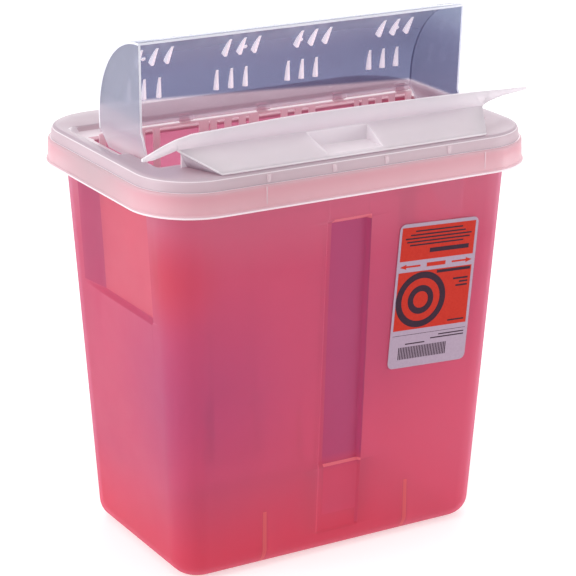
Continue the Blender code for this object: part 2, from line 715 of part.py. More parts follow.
def make_visor(parts, tools, material):
    visor = mesh_object("front_visor", mesh_from("front_visor", build_visor_sheet), parts, material)
    solidify(visor, VISOR_WALL)
    cutter, joined = thumb_pocket(tools)
    boolean(visor, "DIFFERENCE", hide_tool(cutter))
    for x in VISOR_RIB_X:
        for side in (-1, 1):
            rib = plate(f"rib_{side + 2}_{round(x / MM)}", rib_outline(), VISOR_RIB, tools)
            upright_in_x(rib, side * x)
            joined.append(rib)
    joined += [flank(side, tools) for side in (-1, 1)]
    web_half = CREASE_HALF - WEB_INSET
    joined.append(box("rear_web", (-web_half, CREASE_Y, DECK_Z + GAP),
                      (web_half, CREASE_Y + VISOR_WALL, CREASE_Z + WEB_RISE), tools))
    for tool in joined:
        boolean(visor, "UNION", hide_tool(tool))
    shade(visor)
    return visor


# ---------------------------------------------------------------- label

def make_label(parts, material):
    width, height = LABEL_SIZE
    outline = outline_rectangle(width / 2, height / 2, LABEL_CORNER)
    label = plate("label_sheet", outline, LABEL_THICKNESS, parts)
    label.data.materials.append(material)
    _, half_y, _ = tub_size(LABEL_Z)
    draft = math.atan((TUB_HALF_Y[1] - TUB_HALF_Y[0]) / TUB_DRAFT_HEIGHT)
    upright = Matrix.Rotation(math.pi / 2 + draft, 4, "X")
    outward = upright.to_3x3() @ Vector((0.0, 0.0, 1.0))
    on_wall = Vector((LABEL_X, -half_y, LABEL_Z)) + outward * (GAP + LABEL_THICKNESS / 2)
    label.matrix_world = Matrix.Translation(on_wall) @ upright @ Matrix.Rotation(LABEL_TILT, 4, "Z")
    return label


def main():
    clear_scene()
    parts = new_collection("sharps_container")
    tools = new_collection("cutters")
    red = plastic("red_polypropylene", (0.72, 0.05, 0.09), 0.38, 0.6)
    natural = plastic("natural_polypropylene", (0.86, 0.82, 0.86), 0.35, 0.6)
    clear = plastic("clear_polypropylene", (0.45, 0.47, 0.68), 0.12, 0.9)
    paper = plastic("label_paper", (0.8, 0.74, 0.8), 0.55)
    make_tub(parts, red)
    make_lid(parts, natural)
    make_visor(parts, tools, natural)
    make_chute(parts, tools, natural)
    make_flap(parts, tools, clear)
    make_label(parts, paper)


main()
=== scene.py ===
"""Looks for the sharps container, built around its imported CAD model.

Metres, +Z up, in the CAD's own frame: the origin is the centre of the tub's base, and -Y is the
front.  Every CAD node is replaced by a finer mesh of the same size, and each piece rides on the
CAD body that its node belongs to.
"""
import json
import math

import bmesh
import bpy
from mathutils import Matrix, Vector


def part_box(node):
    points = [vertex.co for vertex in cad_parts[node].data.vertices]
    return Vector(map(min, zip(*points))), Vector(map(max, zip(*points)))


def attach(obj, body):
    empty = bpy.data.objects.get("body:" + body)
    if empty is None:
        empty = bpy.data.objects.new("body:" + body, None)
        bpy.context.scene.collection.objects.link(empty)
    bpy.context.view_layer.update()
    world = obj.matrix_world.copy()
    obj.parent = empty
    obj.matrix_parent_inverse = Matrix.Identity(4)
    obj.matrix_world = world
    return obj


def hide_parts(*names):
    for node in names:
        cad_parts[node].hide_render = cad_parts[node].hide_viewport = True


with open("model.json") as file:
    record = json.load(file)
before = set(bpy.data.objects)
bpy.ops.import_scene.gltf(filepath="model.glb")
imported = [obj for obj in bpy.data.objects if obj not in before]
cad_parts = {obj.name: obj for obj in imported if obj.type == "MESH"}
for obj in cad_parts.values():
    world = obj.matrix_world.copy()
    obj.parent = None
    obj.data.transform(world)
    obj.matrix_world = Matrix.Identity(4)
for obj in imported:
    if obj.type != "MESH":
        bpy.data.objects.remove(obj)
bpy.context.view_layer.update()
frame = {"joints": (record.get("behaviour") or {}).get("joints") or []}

MM = 0.001


def mm(*values):
    """Lengths given in millimetres, in metres."""
    return tuple(value * MM for value in values)


# ---------------- sizes, from the frame

_, TUB_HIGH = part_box("container_body")
LID_LOW, LID_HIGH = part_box("lid_base")
VISOR_LOW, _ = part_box("front_visor")
FLAP_LOW, FLAP_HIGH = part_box("flap")
LABEL_LOW, LABEL_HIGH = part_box("label_sheet")
HINGE = Vector(frame["joints"][0]["pos_m"])

# Tub
RIM_REACH = 7.2 * MM
RIM_DROP = 4.2 * MM
RIM_CORNER = 34.0 * MM
RIM_NECK = 0.6 * MM
RIM_NECK_CORNER = 23.0 * MM
RIM_Z = TUB_HIGH.z
# The rim's edge, as pairs: inward and down from its outer top corner.
RIM_EDGE = (mm(1.2, 0.0), mm(0.3, 0.35), mm(0.0, 1.2), (0.0, RIM_DROP / 2), (0.0, RIM_DROP))
DRAFT_HEIGHT = 239.0 * MM
TUB_HALF_X = mm(106.7, 120.1)
TUB_HALF_Y = mm(64.9, 78.2)
TUB_CORNER = mm(18.0, 22.0)
TUB_WALL = 2.0 * MM
BASE_ROUND = 12.0 * MM
BASE_RECESS = 1.2 * MM
BASE_RECESS_INSET = mm(8.0, 10.0)

CHANNEL_EDGE = mm(13.5, 15.5)
CHANNEL_SHALLOW = 1.2 * MM
CHANNEL_DEEP = 3.5 * MM
CHANNEL_FOOT_Z = mm(14.0, 16.0)
CHANNEL_STEP_Z = mm(58.0, 62.0)
CHANNEL_TOP_Z = mm(218.5, 221.5)
# Where the channel's darker strip starts: painted shade from here to the channel's right edge.
SHADED_STRIP_X = -10.5 * MM
LUG_X = 51.0 * MM
LUG_HALF = 7.0 * MM
LUG_HEIGHT = 1.4 * MM
LUG_Z = mm(3.5, 12.0, 38.0)
LUG_EDGE = 2.4 * MM
GRIP_FRONT_Y = mm(-46.5, -43.5)
GRIP_REAR_Y = mm(22.5, 46.5)
GRIP_LOW_Z = mm(163.5, 166.5)
GRIP_HIGH_Z = mm(238.0, 241.0)
GRIP_DEPTH = 3.0 * MM

# Lid
LID_CORNER = 39.5 * MM
LID_WALL = 1.6 * MM
SKIRT_HEIGHT = 15.0 * MM
# Inward and up, from the skirt's lower edge and from its step.
LID_BEAD = (mm(0.8, 0.0), mm(0.25, 0.15), mm(0.0, 0.6), mm(0.0, 1.3), mm(0.25, 1.9), mm(0.8, 2.4))
LID_STEP = (mm(1.2, -1.9), mm(1.3, -1.0), mm(1.7, -0.35), mm(2.4, 0.0), mm(3.0, 0.05),
            mm(3.25, 0.5))
SHOULDER_INSET = 3.5 * MM
SHOULDER_RADIUS = 3.4 * MM
SKIRT_SEAM_X = mm(-64.5, 86.7)
WEB_X = mm(-62.0, -18.0, 18.0, 62.0)
SEAM_INSET, WEB_INSET = mm(1.2, 3.3)
SEAM_WIDTH, WEB_WIDTH = mm(0.7, 2.2)
SEAM_DEPTH = 0.8 * MM
STEP_Z = LID_LOW.z + SKIRT_HEIGHT
DECK_Z = LID_HIGH.z
WELL_HALF_X = 114.2 * MM
WELL_Y = mm(-51.5, 33.4)
WELL_CORNER = 2.0 * MM
EDGE_BAND = 7.0 * MM
BAND_LINE = 2.0 * MM
MARGIN_HALF_X = 122.0 * MM
MARGIN_Y = mm(-59.5, 55.0)
MARGIN_CORNER = 8.0 * MM
MARGIN_DEPTH = 3.6 * MM
MARGIN_START_Y = mm(-16.0, -8.0)
# The slope down to the margin: inset at the ends and rear, inset at the front, share of its depth.
MARGIN_EDGE = ((*mm(-1.2, 0.0), 0.0), (*mm(-0.4, 0.2), 0.05), (*mm(0.0, 0.4), 0.14),
               (*mm(0.3, 0.6), 0.3), (*mm(1.3, 0.9), 0.86), (*mm(1.7, 1.2), 0.96),
               (*mm(2.4, 1.5), 1.0))
# The opening's rounded edge: inset and drop.
OPENING_ROUND = (mm(-0.7, 0.0), mm(-0.2, 0.15), mm(0.0, 0.6))

# Flap
FLAP_WALL = 1.6 * MM
FLAP_RADIUS = 57.0 * MM
FLAP_CENTRE = Vector((-26.0 * MM, FLAP_HIGH.z - FLAP_RADIUS))
FLAP_HALF_X = 111.4 * MM
CHEEK_LEAN = 0.021
CHEEK_BOTTOM_Z = FLAP_LOW.z
CHEEK_FRONT_Y = -24.5 * MM
CHEEK_TOE = mm(-30.0, 270.0, 263.6)
CHEEK_HEEL = mm(11.2, 2.2)
CHEEK_ROUND = 4.0 * MM
SHEET_FOOT_Z = HINGE.z + 1.0 * MM
HINGE_RADIUS = 1.8 * MM
BEAD_THIN_RADIUS = 1.4 * MM
BEAD_TAPER = 0.6 * MM
GROUP_X = mm(-83.5, -23.5, 27.0, 87.0)
RIB_PITCH = 10.2 * MM
FIN_ROWS = ((8.5, 23.0), (37.0, 53.0))
FIN_DEPTH = 4.0 * MM
FIN_TIP = 0.5 * MM
FIN_SLANT = (1.5, 2.5, 1.0)
FIN_THICKNESS = 1.8 * MM
NUB_X = mm(-89.0, -19.5, 20.0, 90.5)
NUB_ANGLE = 41.5
NUB_RADIUS = 1.5 * MM
NUB_HEIGHT = 0.9 * MM
# Shares of the nub's height and radius, from its foot to its domed top.
NUB_PROFILE = ((0.0, 1.0), (0.6, 0.92), (1.0, 0.6), (1.1, 0.2))

# Chute
COMB_BASE_Z = 218.0 * MM
COMB_TOP_Z = 262.0 * MM
COMB_RAIL = mm(4.0, 1.4)
COMB_BAR = 4.4 * MM
COMB_POSTS = (mm(-40.5, 6.5), mm(-5.0, 6.5), mm(70.5, 3.0))
COMB_HALF_X = 112.0 * MM
COMB_Y = mm(29.4, 31.0)
PANEL_WALL = 1.1 * MM
PANEL_X = 112.6 * MM
PANEL_X_AT = 225.0 * MM
PANEL_LEAN = 0.043
PANEL_FOOT = (mm(-31.0, 197.0), mm(-27.0, 193.0), mm(-11.0, 192.0), mm(-6.5, 196.0))
PANEL_REAR_Z = 224.0 * MM
PANEL_TOP_Z = 256.0 * MM
CRADLE_X = mm(-104.5, -53.0, 1.5, 57.0, 104.5)
CRADLE_WIDTH = 7.0 * MM
CRADLE_RADII = (HINGE_RADIUS + 0.3 * MM, HINGE_RADIUS + 1.4 * MM)
CRADLE_ENDS = (60.0, -110.0)

# Visor
VISOR_WALL = 1.4 * MM
VISOR_FOOT = Vector((90.6 * MM, VISOR_LOW.y, VISOR_LOW.z + VISOR_WALL))
CREASE = Vector(mm(105.2, -60.0, 272.7))
LIP_HALF = 97.0 * MM
LIP_Y = -62.5 * MM
# The heights of the lip's free edge, evenly spaced from the left.
LIP_Z = mm(281.1, 282.0, 283.1, 283.8, 283.7, 283.6, 283.3, 282.9, 282.4)
# Each wing's X and Y, and the heights of its lower and upper edge there.
WING_STATIONS = (mm(108.0, -63.2), mm(117.0, -65.2), mm(125.0, -66.8), mm(132.0, -68.2))
DROOPED_WING_Z = (mm(273.4, 279.4), mm(272.0, 277.6), mm(270.9, 275.1), mm(271.2, 272.9))
STRAIGHT_WING_Z = (mm(275.9, 282.3), mm(278.8, 282.6), mm(280.2, 282.8), mm(281.4, 282.9))
FLANK_FOOT = (mm(90.4, -85.2), mm(92.6, -79.0), mm(95.0, -72.0), mm(97.9, -64.5), mm(99.7, -59.6))
FLANK_TOP_Y = mm(-85.0, -79.0, -72.0, -64.0, -60.2)
POCKET_HALF = mm(18.3, 21.0)
POCKET_SHARE = (0.115, 0.965)
POCKET_COLUMNS = (4, 8)
VISOR_RIB_X = mm(45.0, 68.0)
VISOR_RIB_WIDTH = 1.2 * MM
VISOR_RIB_FRONT = 3.0 * MM

# Label
LABEL_SIZE = mm(57.5, 94.5)
LABEL_THICKNESS = 0.3 * MM
LABEL_CORNER = 4.0 * MM
LABEL_TILT = math.radians(-2.8)
PRINT = 0.05 * MM

CORNER_STEPS = 14
# Each side's outward direction in X and Y.
SIDES = {"front": (0, -1), "right": (1, 0), "rear": (0, 1), "left": (-1, 0)}


# ---------------- shape helpers

def ramp(value, start, end):
    """0 at start, 1 at end, straight between."""
    return min(1.0, max(0.0, (value - start) / (end - start)))


def ease(value, start, end):
    """0 at start, 1 at end, with soft ends."""
    share = ramp(value, start, end)
    return share * share * (3.0 - 2.0 * share)


def between(start, end, steps):
    return [start + (end - start) * step / steps for step in range(steps + 1)]


def mix(a, b, share):
    return a + (b - a) * share


def arc(centre, radius, start_degrees, end_degrees, steps):
    """Points on an arc, as pairs."""
    angles = [math.radians(a) for a in between(start_degrees, end_degrees, steps)]
    return [(centre[0] + radius * math.cos(a), centre[1] + radius * math.sin(a)) for a in angles]


def rounded_rectangle(half_x, half_y, radius, steps=8):
    points = []
    for quarter, (sx, sy) in enumerate(((1, 1), (-1, 1), (-1, -1), (1, -1))):
        centre = (sx * (half_x - radius), sy * (half_y - radius))
        points += arc(centre, radius, 90.0 * quarter, 90.0 * (quarter + 1), steps)
    return points


def ring_stations(half_x, half_y, radius, x_stops, y_stops):
    """A rounded rectangle's points with the side each is on, counter-clockwise from front left."""
    found = []
    for index, (side, (out_x, out_y)) in enumerate(SIDES.items()):
        end = (half_y if out_x else half_x) - radius
        along = [-end, *(y_stops if out_x else x_stops), end]
        if side in ("rear", "left"):
            along.reverse()
        for value in along:
            place = Vector((out_x * half_x, value) if out_x else (value, out_y * half_y))
            found.append((place, side, value))
        sign_x = 1 if side in ("front", "right") else -1
        sign_y = 1 if side in ("right", "rear") else -1
        centre = (sign_x * (half_x - radius), sign_y * (half_y - radius))
        start = 90.0 * (index - 1)
        corner = arc(centre, radius, start, start + 90.0, CORNER_STEPS)[1:-1]
        found += [(Vector(point), "corner", 0.0) for point in corner]
    return found


def flat_ring(z, *size_and_stops):
    """A plain rounded rectangle at height z."""
    return [Vector((*place, z)) for place, _, _ in ring_stations(*size_and_stops)]


def bridge(bm, low, high):
    """A closed band of faces between two loops of vertices."""
    faces = []
    for i in range(len(low)):
        j = (i + 1) % len(low)
        faces.append(bm.faces.new((low[i], low[j], high[j], high[i])))
    return faces


def loft(bm, rings, close_first=False):
    """Joins rings of equal length, each a closed loop of points, into one open surface."""
    loops = [[bm.verts.new(point) for point in ring] for ring in rings]
    for low, high in zip(loops, loops[1:]):
        bridge(bm, low, high)
    if close_first:
        bm.faces.new(list(reversed(loops[0])))


def sheet(bm, rows):
    """Faces between open rows of vertices of equal length."""
    faces = []
    for low, high in zip(rows, rows[1:]):
        for i in range(len(low) - 1):
            faces.append(bm.faces.new((low[i], low[i + 1], high[i + 1], high[i])))
    return faces


def strip(bm, rows):
    """A sheet through open rows of points."""
    sheet(bm, [[bm.verts.new(point) for point in row] for row in rows])


def slab(bm, outline, thickness, place, edge_material=0, face_material=0):
    """A flat plate in its own XY plane, centred on Z = 0, set in place by a matrix."""
    top = [bm.verts.new(place @ Vector((x, y, thickness / 2))) for x, y in outline]
    bottom = [bm.verts.new(place @ Vector((x, y, -thickness / 2))) for x, y in outline]
    flats = [bm.faces.new(top), bm.faces.new(list(reversed(bottom)))]
    sides = bridge(bm, bottom, top)
    for faces, material in ((flats, face_material), (sides, edge_material)):
        for face in faces:
            face.material_index = material
    bmesh.ops.recalc_face_normals(bm, faces=flats + sides)


def circle(bm, radius, height, segments, place):
    """New vertices in a circle about the place's own Z."""
    return [bm.verts.new(place @ Vector((x, y, height)))
            for x, y in arc((0.0, 0.0), radius, 0.0, 360.0, segments)[:-1]]


def turned(bm, profile, segments, place):
    """A closed solid of revolution about its own Z: the profile is (height, radius) pairs."""
    rings = [circle(bm, radius, height, segments, place) for height, radius in profile]
    faces = [bm.faces.new(list(reversed(rings[0]))), bm.faces.new(rings[-1])]
    for low, high in zip(rings, rings[1:]):
        faces += bridge(bm, low, high)
    bmesh.ops.recalc_face_normals(bm, faces=faces)


def across_x(x, lean=0.0):
    """Stands a plate up in the YZ plane at x, its top leaning towards +X by lean."""
    stand = Matrix(((0, 0, 1), (1, 0, 0), (0, 1, 0))).to_4x4()
    return Matrix.Translation((x, 0, 0)) @ Matrix.Rotation(math.atan(lean), 4, "Y") @ stand


def add_object(name, data):
    thing = bpy.data.objects.new(name, data)
    bpy.context.scene.collection.objects.link(thing)
    return thing


def add_mesh(name, build, materials):
    """A mesh object, filled in by build(bm)."""
    bm = bmesh.new()
    build(bm)
    mesh = bpy.data.meshes.new(name)
    bm.to_mesh(mesh)
    bm.free()
    for material in materials:
        mesh.materials.append(material)
    return add_object(name, mesh)


def piece(name, build, materials, body, node=None, sharp_degrees=32.0):
    """A mesh that rides on a body and may stand for a CAD node."""
    thing = add_mesh(name, build, materials)
    thing.data.shade_smooth()
    thing.data.set_sharp_from_angle(angle=math.radians(sharp_degrees))
    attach(thing, body)
    if node:
        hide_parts(node)
    return thing


def paint(thing, choices):
    """Gives the piece's materials, by number, to the faces that each choice takes.

    A choice is a function of a face's centre and normal, and a later one overrides an earlier.
    """
    for index, chosen in choices.items():
        for face in thing.data.polygons:
            if chosen(face.center, face.normal):
                face.material_index = index


def modify(thing, kind, **settings):
    modifier = thing.modifiers.new(kind.lower(), kind)
    for name, value in settings.items():
        setattr(modifier, name, value)


def solidify(thing, thickness, rim_material=0):
    modify(thing, "SOLIDIFY", thickness=thickness, offset=-1.0, use_even_offset=True,
           use_quality_normals=True, material_offset_rim=rim_material)


def bevel(thing, width, segments=2, degrees=30.0):
    modify(thing, "BEVEL", width=width, segments=segments, limit_method="ANGLE",
           angle_limit=math.radians(degrees))


# ---------------- materials

def start_material(name):
    material = bpy.data.materials.new(name)
    material.use_nodes = True
    material.node_tree.nodes.clear()
    return material, material.node_tree


def feed(tree, socket, value):
    """Sets a socket to a plain value or colour, or links it to another node's output."""
    if isinstance(value, bpy.types.NodeSocket):
        tree.links.new(value, socket)
    elif socket.type == "RGBA":
        socket.default_value = (*value, 1.0)
    else:
        socket.default_value = value


def node(tree, kind, **inputs):
    """A new node whose inputs are fed by name, with _ for a space."""
    made = tree.nodes.new(kind)
    for name, value in inputs.items():
        feed(tree, made.inputs[name.replace("_", " ")], value)
    return made


def noise(tree, coordinates, scale, detail=3.0, roughness=0.5):
    return node(tree, "ShaderNodeTexNoise", Vector=coordinates, Scale=scale, Detail=detail,
                Roughness=roughness).outputs["Fac"]


def spread(tree, value, low, high, from_low=0.3, from_high=0.7, kind="LINEAR"):
    """A value, such as a pattern's, mapped from one range to another."""
    made = node(tree, "ShaderNodeMapRange", Value=value, From_Min=from_low, From_Max=from_high,
                To_Min=low, To_Max=high)
    made.interpolation_type = kind
    return made.outputs["Result"]


def blend_colour(tree, share, first, second):
    """Between two colours, each a plain tuple or another node's output."""
    made = tree.nodes.new("ShaderNodeMix")
    made.data_type = "RGBA"
    for name, kind, value in (("Factor", "VALUE", share), ("A", "RGBA", first), ("B", "RGBA", second)):
        feed(tree, next(s for s in made.inputs if s.name == name and s.type == kind), value)
    return next(s for s in made.outputs if s.type == "RGBA")


def mix_shaders(tree, share, first, second):
    made = node(tree, "ShaderNodeMixShader", Fac=share)
    tree.links.new(first, made.inputs[1])
    tree.links.new(second, made.inputs[2])
    return made.outputs["Shader"]


def object_position(tree):
    return node(tree, "ShaderNodeTexCoord").outputs["Object"]


def measure(tree, operation, position, other):
    """The distance or the dot product of a position and a fixed vector."""
    made = tree.nodes.new("ShaderNodeVectorMath")
    made.operation = operation
    tree.links.new(position, made.inputs[0])
    made.inputs[1].default_value = other
    return made.outputs["Value"]


def height_share(tree, position, low, high, tilt=0.0):
    """0 at height low, 1 at height high, on planes that may drop by tilt towards +X."""
    along = measure(tree, "DOT_PRODUCT", position, (tilt, 0.0, 1.0))
    return spread(tree, along, 0.0, 1.0, low, high)


def moulded_bump(tree, position, depth):
    """The faint orange peel of moulded plastic, with a trace of slow waviness."""
    fine = noise(tree, position, 900.0, 2.0)
    slow = noise(tree, position, 22.0, 2.0)
    waves = node(tree, "ShaderNodeBump", Height=slow, Strength=0.35, Distance=depth * 6)
    grain = node(tree, "ShaderNodeBump", Height=fine, Strength=0.5, Distance=depth,
                 Normal=waves.outputs["Normal"])
    return grain.outputs["Normal"]


def zone_share(tree, position, centre, reach):
    """1 at the centre of a soft ball, fading to 0 at its reach."""
    away = measure(tree, "DISTANCE", position, centre)
    return spread(tree, away, 1.0, 0.0, 0.0, reach, "SMOOTHSTEP")


def show(tree, shader):
    """Makes a shader the material's surface."""
    output = tree.nodes.new("ShaderNodeOutputMaterial")
    tree.links.new(shader, output.inputs["Surface"])


def plastic(name, colours, seen_through, glow, roughness, edge_on=0.25, depth=0.02 * MM,
            heights=(), zones=(), veils=(), lit=0.0):
    """Translucent moulded plastic.

    colours are the two ends of its slow variation, seen_through is the tint and the share of
    what shows through it face on, and edge_on how much of that share is left at grazing angles.
    glow is the share of the light that comes through diffused.  heights are further colours, and
    veils further tints, each with the two heights it fades in between, and zones are colours of
    soft balls, each with a centre and a reach.  lit is a painted glow, the light that edges, ribs
    and other faces give off though they are no lamp.
    """
    material, tree = start_material(name)
    position = object_position(tree)
    cloud = noise(tree, position, 14.0, 4.0, 0.6)
    colour = blend_colour(tree, spread(tree, cloud, 0.0, 1.0), *colours)
    for other, *limits in heights:
        colour = blend_colour(tree, height_share(tree, position, *limits), colour, other)
    for other, centre, reach in zones:
        colour = blend_colour(tree, zone_share(tree, position, centre, reach), colour, other)
    normal = moulded_bump(tree, position, depth)
    rough = spread(tree, noise(tree, position, 60.0), roughness * 0.85, roughness * 1.15)

    surface = node(tree, "ShaderNodeBsdfPrincipled", Base_Color=colour, Roughness=rough,
                   Normal=normal, IOR=1.49, Specular_IOR_Level=0.45)
    if lit:
        feed(tree, surface.inputs["Emission Color"], (1.0, 0.98, 1.0))
        feed(tree, surface.inputs["Emission Strength"], lit)
    through = node(tree, "ShaderNodeBsdfTranslucent", Color=colour, Normal=normal)
    solid = mix_shaders(tree, glow, surface.outputs["BSDF"], through.outputs["BSDF"])

    tint, share = seen_through
    for other, *limits in veils:
        tint = blend_colour(tree, height_share(tree, position, *limits), tint, other)
    see_through = node(tree, "ShaderNodeBsdfTransparent", Color=tint)
    facing = node(tree, "ShaderNodeLayerWeight", Blend=0.35)
    clearness = spread(tree, facing.outputs["Facing"], share, share * edge_on, 0.0, 1.0)
    show(tree, mix_shaders(tree, clearness, solid, see_through.outputs["BSDF"]))
    return material


def printed(name, colour, worn, roughness):
    """Ink or paper: matt, slightly mottled, with a fine tooth."""
    material, tree = start_material(name)
    position = object_position(tree)
    mottle = spread(tree, noise(tree, position, 700.0, 3.0), 0.0, 1.0)
    rough = spread(tree, noise(tree, position, 180.0), roughness * 0.85, roughness * 1.15)
    tooth = node(tree, "ShaderNodeBump", Height=noise(tree, position, 2500.0, 2.0), Strength=0.3,
                 Distance=0.01 * MM)
    surface = node(tree, "ShaderNodeBsdfPrincipled", Roughness=rough, Specular_IOR_Level=0.18,
                   Base_Color=blend_colour(tree, mottle, colour, worn),
                   Normal=tooth.outputs["Normal"])
    show(tree, surface.outputs["BSDF"])
    return material


def red(part, colours, seen_through, glow=0.42, **more):
    return plastic("red_polypropylene" + part, colours, seen_through, glow, 0.42, **more)


def natural(part, colours, seen_through, glow=0.40, roughness=0.36, **more):
    return plastic("natural_polypropylene" + part, colours, seen_through, glow, roughness, **more)


def clear(part, colours, seen_through, glow=0.30, roughness=0.2, **more):
    return plastic("clear_polypropylene" + part, colours, seen_through, glow, roughness, **more)


RED_COLOURS = ((0.63, 0.165, 0.28), (0.68, 0.185, 0.30))
RED_THROUGH = ((0.96, 0.52, 0.66), 0.58)
RED_FOOT = ((0.76, 0.14, 0.22), *mm(60.0, 15.0))
# Painted light and shade on the tub: the two purple balls on the front are painted shade, where little
# light comes through from inside, and the redder ball high on the left wall's front and the brighter
# ball low on the front's right are painted light shining through the walls.
RED = red("", RED_COLOURS, RED_THROUGH,
          heights=[RED_FOOT, ((0.68, 0.30, 0.41), *mm(195.0, 240.0))],
          zones=[((0.51, 0.15, 0.315), mm(-94.0, -72.0, 118.0), 98.0 * MM),
                 ((0.54, 0.15, 0.275), mm(28.0, -75.0, 150.0), 85.0 * MM),
                 ((0.66, 0.135, 0.195), mm(-118.0, -64.0, 196.0), 42.0 * MM),
                 ((0.73, 0.20, 0.31), mm(90.0, -75.0, 60.0), 100.0 * MM)])
RED_REAR = red("_rear", RED_COLOURS, RED_THROUGH,
               heights=[RED_FOOT, ((0.60, 0.37, 0.48), *mm(150.0, 235.0))])
# Painted shade: the channels are painted a darker purple than the walls, less dark in the shallow part
# below the step.
RED_CHANNEL_SHADE = red("_channel", ((0.46, 0.11, 0.26), (0.50, 0.12, 0.28)), ((0.90, 0.46, 0.64), 0.50),
                  0.36, heights=[((0.70, 0.13, 0.23), *mm(66.0, 56.0))])
RED_LIT = red("_lit_edges", ((0.88, 0.30, 0.36), (0.92, 0.32, 0.38)), ((0.96, 0.56, 0.66), 0.40))
# Painted highlight: the strip left of each lug's ridge gets its own red and a faint painted glow.
RED_LUG_HIGHLIGHT = red("_lug_edges", ((0.64, 0.115, 0.135), (0.68, 0.125, 0.145)),
              ((0.90, 0.40, 0.45), 0.30), lit=0.06)
RED_GRIP = red("_grips", ((0.68, 0.19, 0.27), (0.73, 0.21, 0.29)), ((0.96, 0.52, 0.64), 0.55))
RED_SHADED = red("_shaded_slopes", ((0.48, 0.11, 0.22), (0.53, 0.12, 0.24)),
                 ((0.92, 0.48, 0.64), 0.50), 0.36)

MILKY = (0.98, 0.95, 0.98)
PALE_COLOURS = ((0.84, 0.79, 0.83), (0.89, 0.84, 0.87))
NATURAL = natural("", ((0.62, 0.54, 0.60), (0.67, 0.59, 0.65)), (MILKY, 0.22))
SKIRT = natural("_skirt", ((0.82, 0.57, 0.62), (0.87, 0.62, 0.67)), ((0.98, 0.92, 0.94), 0.32),
                0.38, 0.34,
                heights=[((0.85, 0.53, 0.59), *mm(244.0, 250.0)),
                         ((0.82, 0.62, 0.67), *mm(251.0, 255.0))],
                zones=[((0.68, 0.54, 0.58), mm(-133.0, 0.0, 247.0), 75.0 * MM)])
# Painted highlight: the lid's bead, ledge and shoulder and the visor's cut edges are painted pale,
# with a faint painted glow.
NATURAL_HIGHLIGHT = natural("_edge", ((0.90, 0.86, 0.89), (0.94, 0.90, 0.93)),
                       ((0.98, 0.96, 0.98), 0.15), 0.35, 0.32, lit=0.05)
# Painted light: the sunken margin is painted paler and less see-through than the deck, with a painted
# glow.
MARGIN = natural("_margin", ((0.82, 0.78, 0.82), (0.87, 0.83, 0.87)), (MILKY, 0.10), lit=0.10)
# A faint painted glow on the lid's upright wall.
UPPER_WALL = natural("_upper_wall", ((0.68, 0.57, 0.62), (0.73, 0.62, 0.67)),
                     ((0.98, 0.94, 0.97), 0.18), roughness=0.34, lit=0.03)
OPENING_EDGE = natural("_opening_edge", ((0.66, 0.37, 0.46), (0.71, 0.41, 0.50)),
                       ((0.96, 0.80, 0.87), 0.45), roughness=0.34)
SKIRT_LINE = natural("_lines", ((0.84, 0.72, 0.76), (0.88, 0.76, 0.80)),
                     ((0.98, 0.94, 0.97), 0.40), 0.35, 0.34)
# The visor is given a faint painted glow.
VISOR = natural("_visor", PALE_COLOURS, (MILKY, 0.26), 0.45, lit=0.06)
# Painted light: the thumb pocket, a shaded hollow in the ramp, is painted pale and given a painted
# glow.
POCKET = natural("_pocket", PALE_COLOURS, (MILKY, 0.12), lit=0.15)
# The comb is given a painted glow.
COMB = natural("_comb", ((0.80, 0.60, 0.66), (0.85, 0.64, 0.70)), ((0.98, 0.88, 0.93), 0.15),
               lit=0.10)
# The chute's end panels are given a painted glow.
PANEL = natural("_panels", ((0.80, 0.62, 0.68), (0.85, 0.66, 0.72)), ((0.98, 0.93, 0.96), 0.30),
                0.45, lit=0.16)
# Painted highlight: the end panels' edges are painted pale with a strong painted glow.
PANEL_EDGE_HIGHLIGHT = natural("_panel_edges", ((0.92, 0.84, 0.88), (0.95, 0.88, 0.92)), (MILKY, 0.10),
                     lit=0.50)

# The blue tint stops just above the deck, on a plane that drops slightly to the right.
TINT_END = (*mm(276.5, 274.5), 0.05)
BELOW_TINT = ((0.86, 0.81, 0.85), *TINT_END)
GLASSY = (0.95, 0.95, 0.98)
# Painted light and shade on the flap's curved sheet: its colour and tint are painted lighter towards
# the top, a painted highlight where it turns up, and its tint darker lower down.
CLEAR = clear("", ((0.20, 0.20, 0.30), (0.24, 0.24, 0.35)), ((0.495, 0.512, 0.645), 0.86),
              0.20, 0.14,
              heights=[((0.42, 0.42, 0.52), *mm(300.0, 332.0)), ((0.64, 0.58, 0.64), *TINT_END)],
              veils=[((0.60, 0.65, 0.755), *mm(298.0, 330.0)),
                     ((0.455, 0.470, 0.600), *mm(302.0, 282.0), -0.15), BELOW_TINT])
# Painted light: the near, left cheek is a paler, clearer copy of the flap's clear plastic, painted as
# if lit; the right cheek takes the plain one.
CHEEK = clear("_near_cheek", ((0.36, 0.37, 0.45), (0.41, 0.42, 0.50)), ((0.72, 0.73, 0.81), 0.66),
              0.25, 0.18,
              heights=[((0.62, 0.58, 0.65), *mm(290.0, 268.0)),
                       ((0.80, 0.76, 0.80), *mm(270.0, 261.0))],
              veils=[BELOW_TINT, ((0.97, 0.96, 0.97), *mm(269.0, 261.0))])
# Painted highlight: the flap's cut edges are painted pale with a painted glow.
CLEAR_EDGE_HIGHLIGHT = clear("_edge", ((0.84, 0.84, 0.90), (0.90, 0.89, 0.94)), (GLASSY, 0.15), lit=0.10)
# Painted glow on the right cheek's edges where they meet the sheet, which lifts a dark line there.
CLEAR_SEAM_GLOW = clear("_seam", ((0.60, 0.60, 0.72), (0.66, 0.66, 0.78)), (GLASSY, 0.40), lit=0.50)
BEAD = clear("_bead", ((0.74, 0.66, 0.72), (0.80, 0.72, 0.78)), ((0.97, 0.93, 0.96), 0.70))
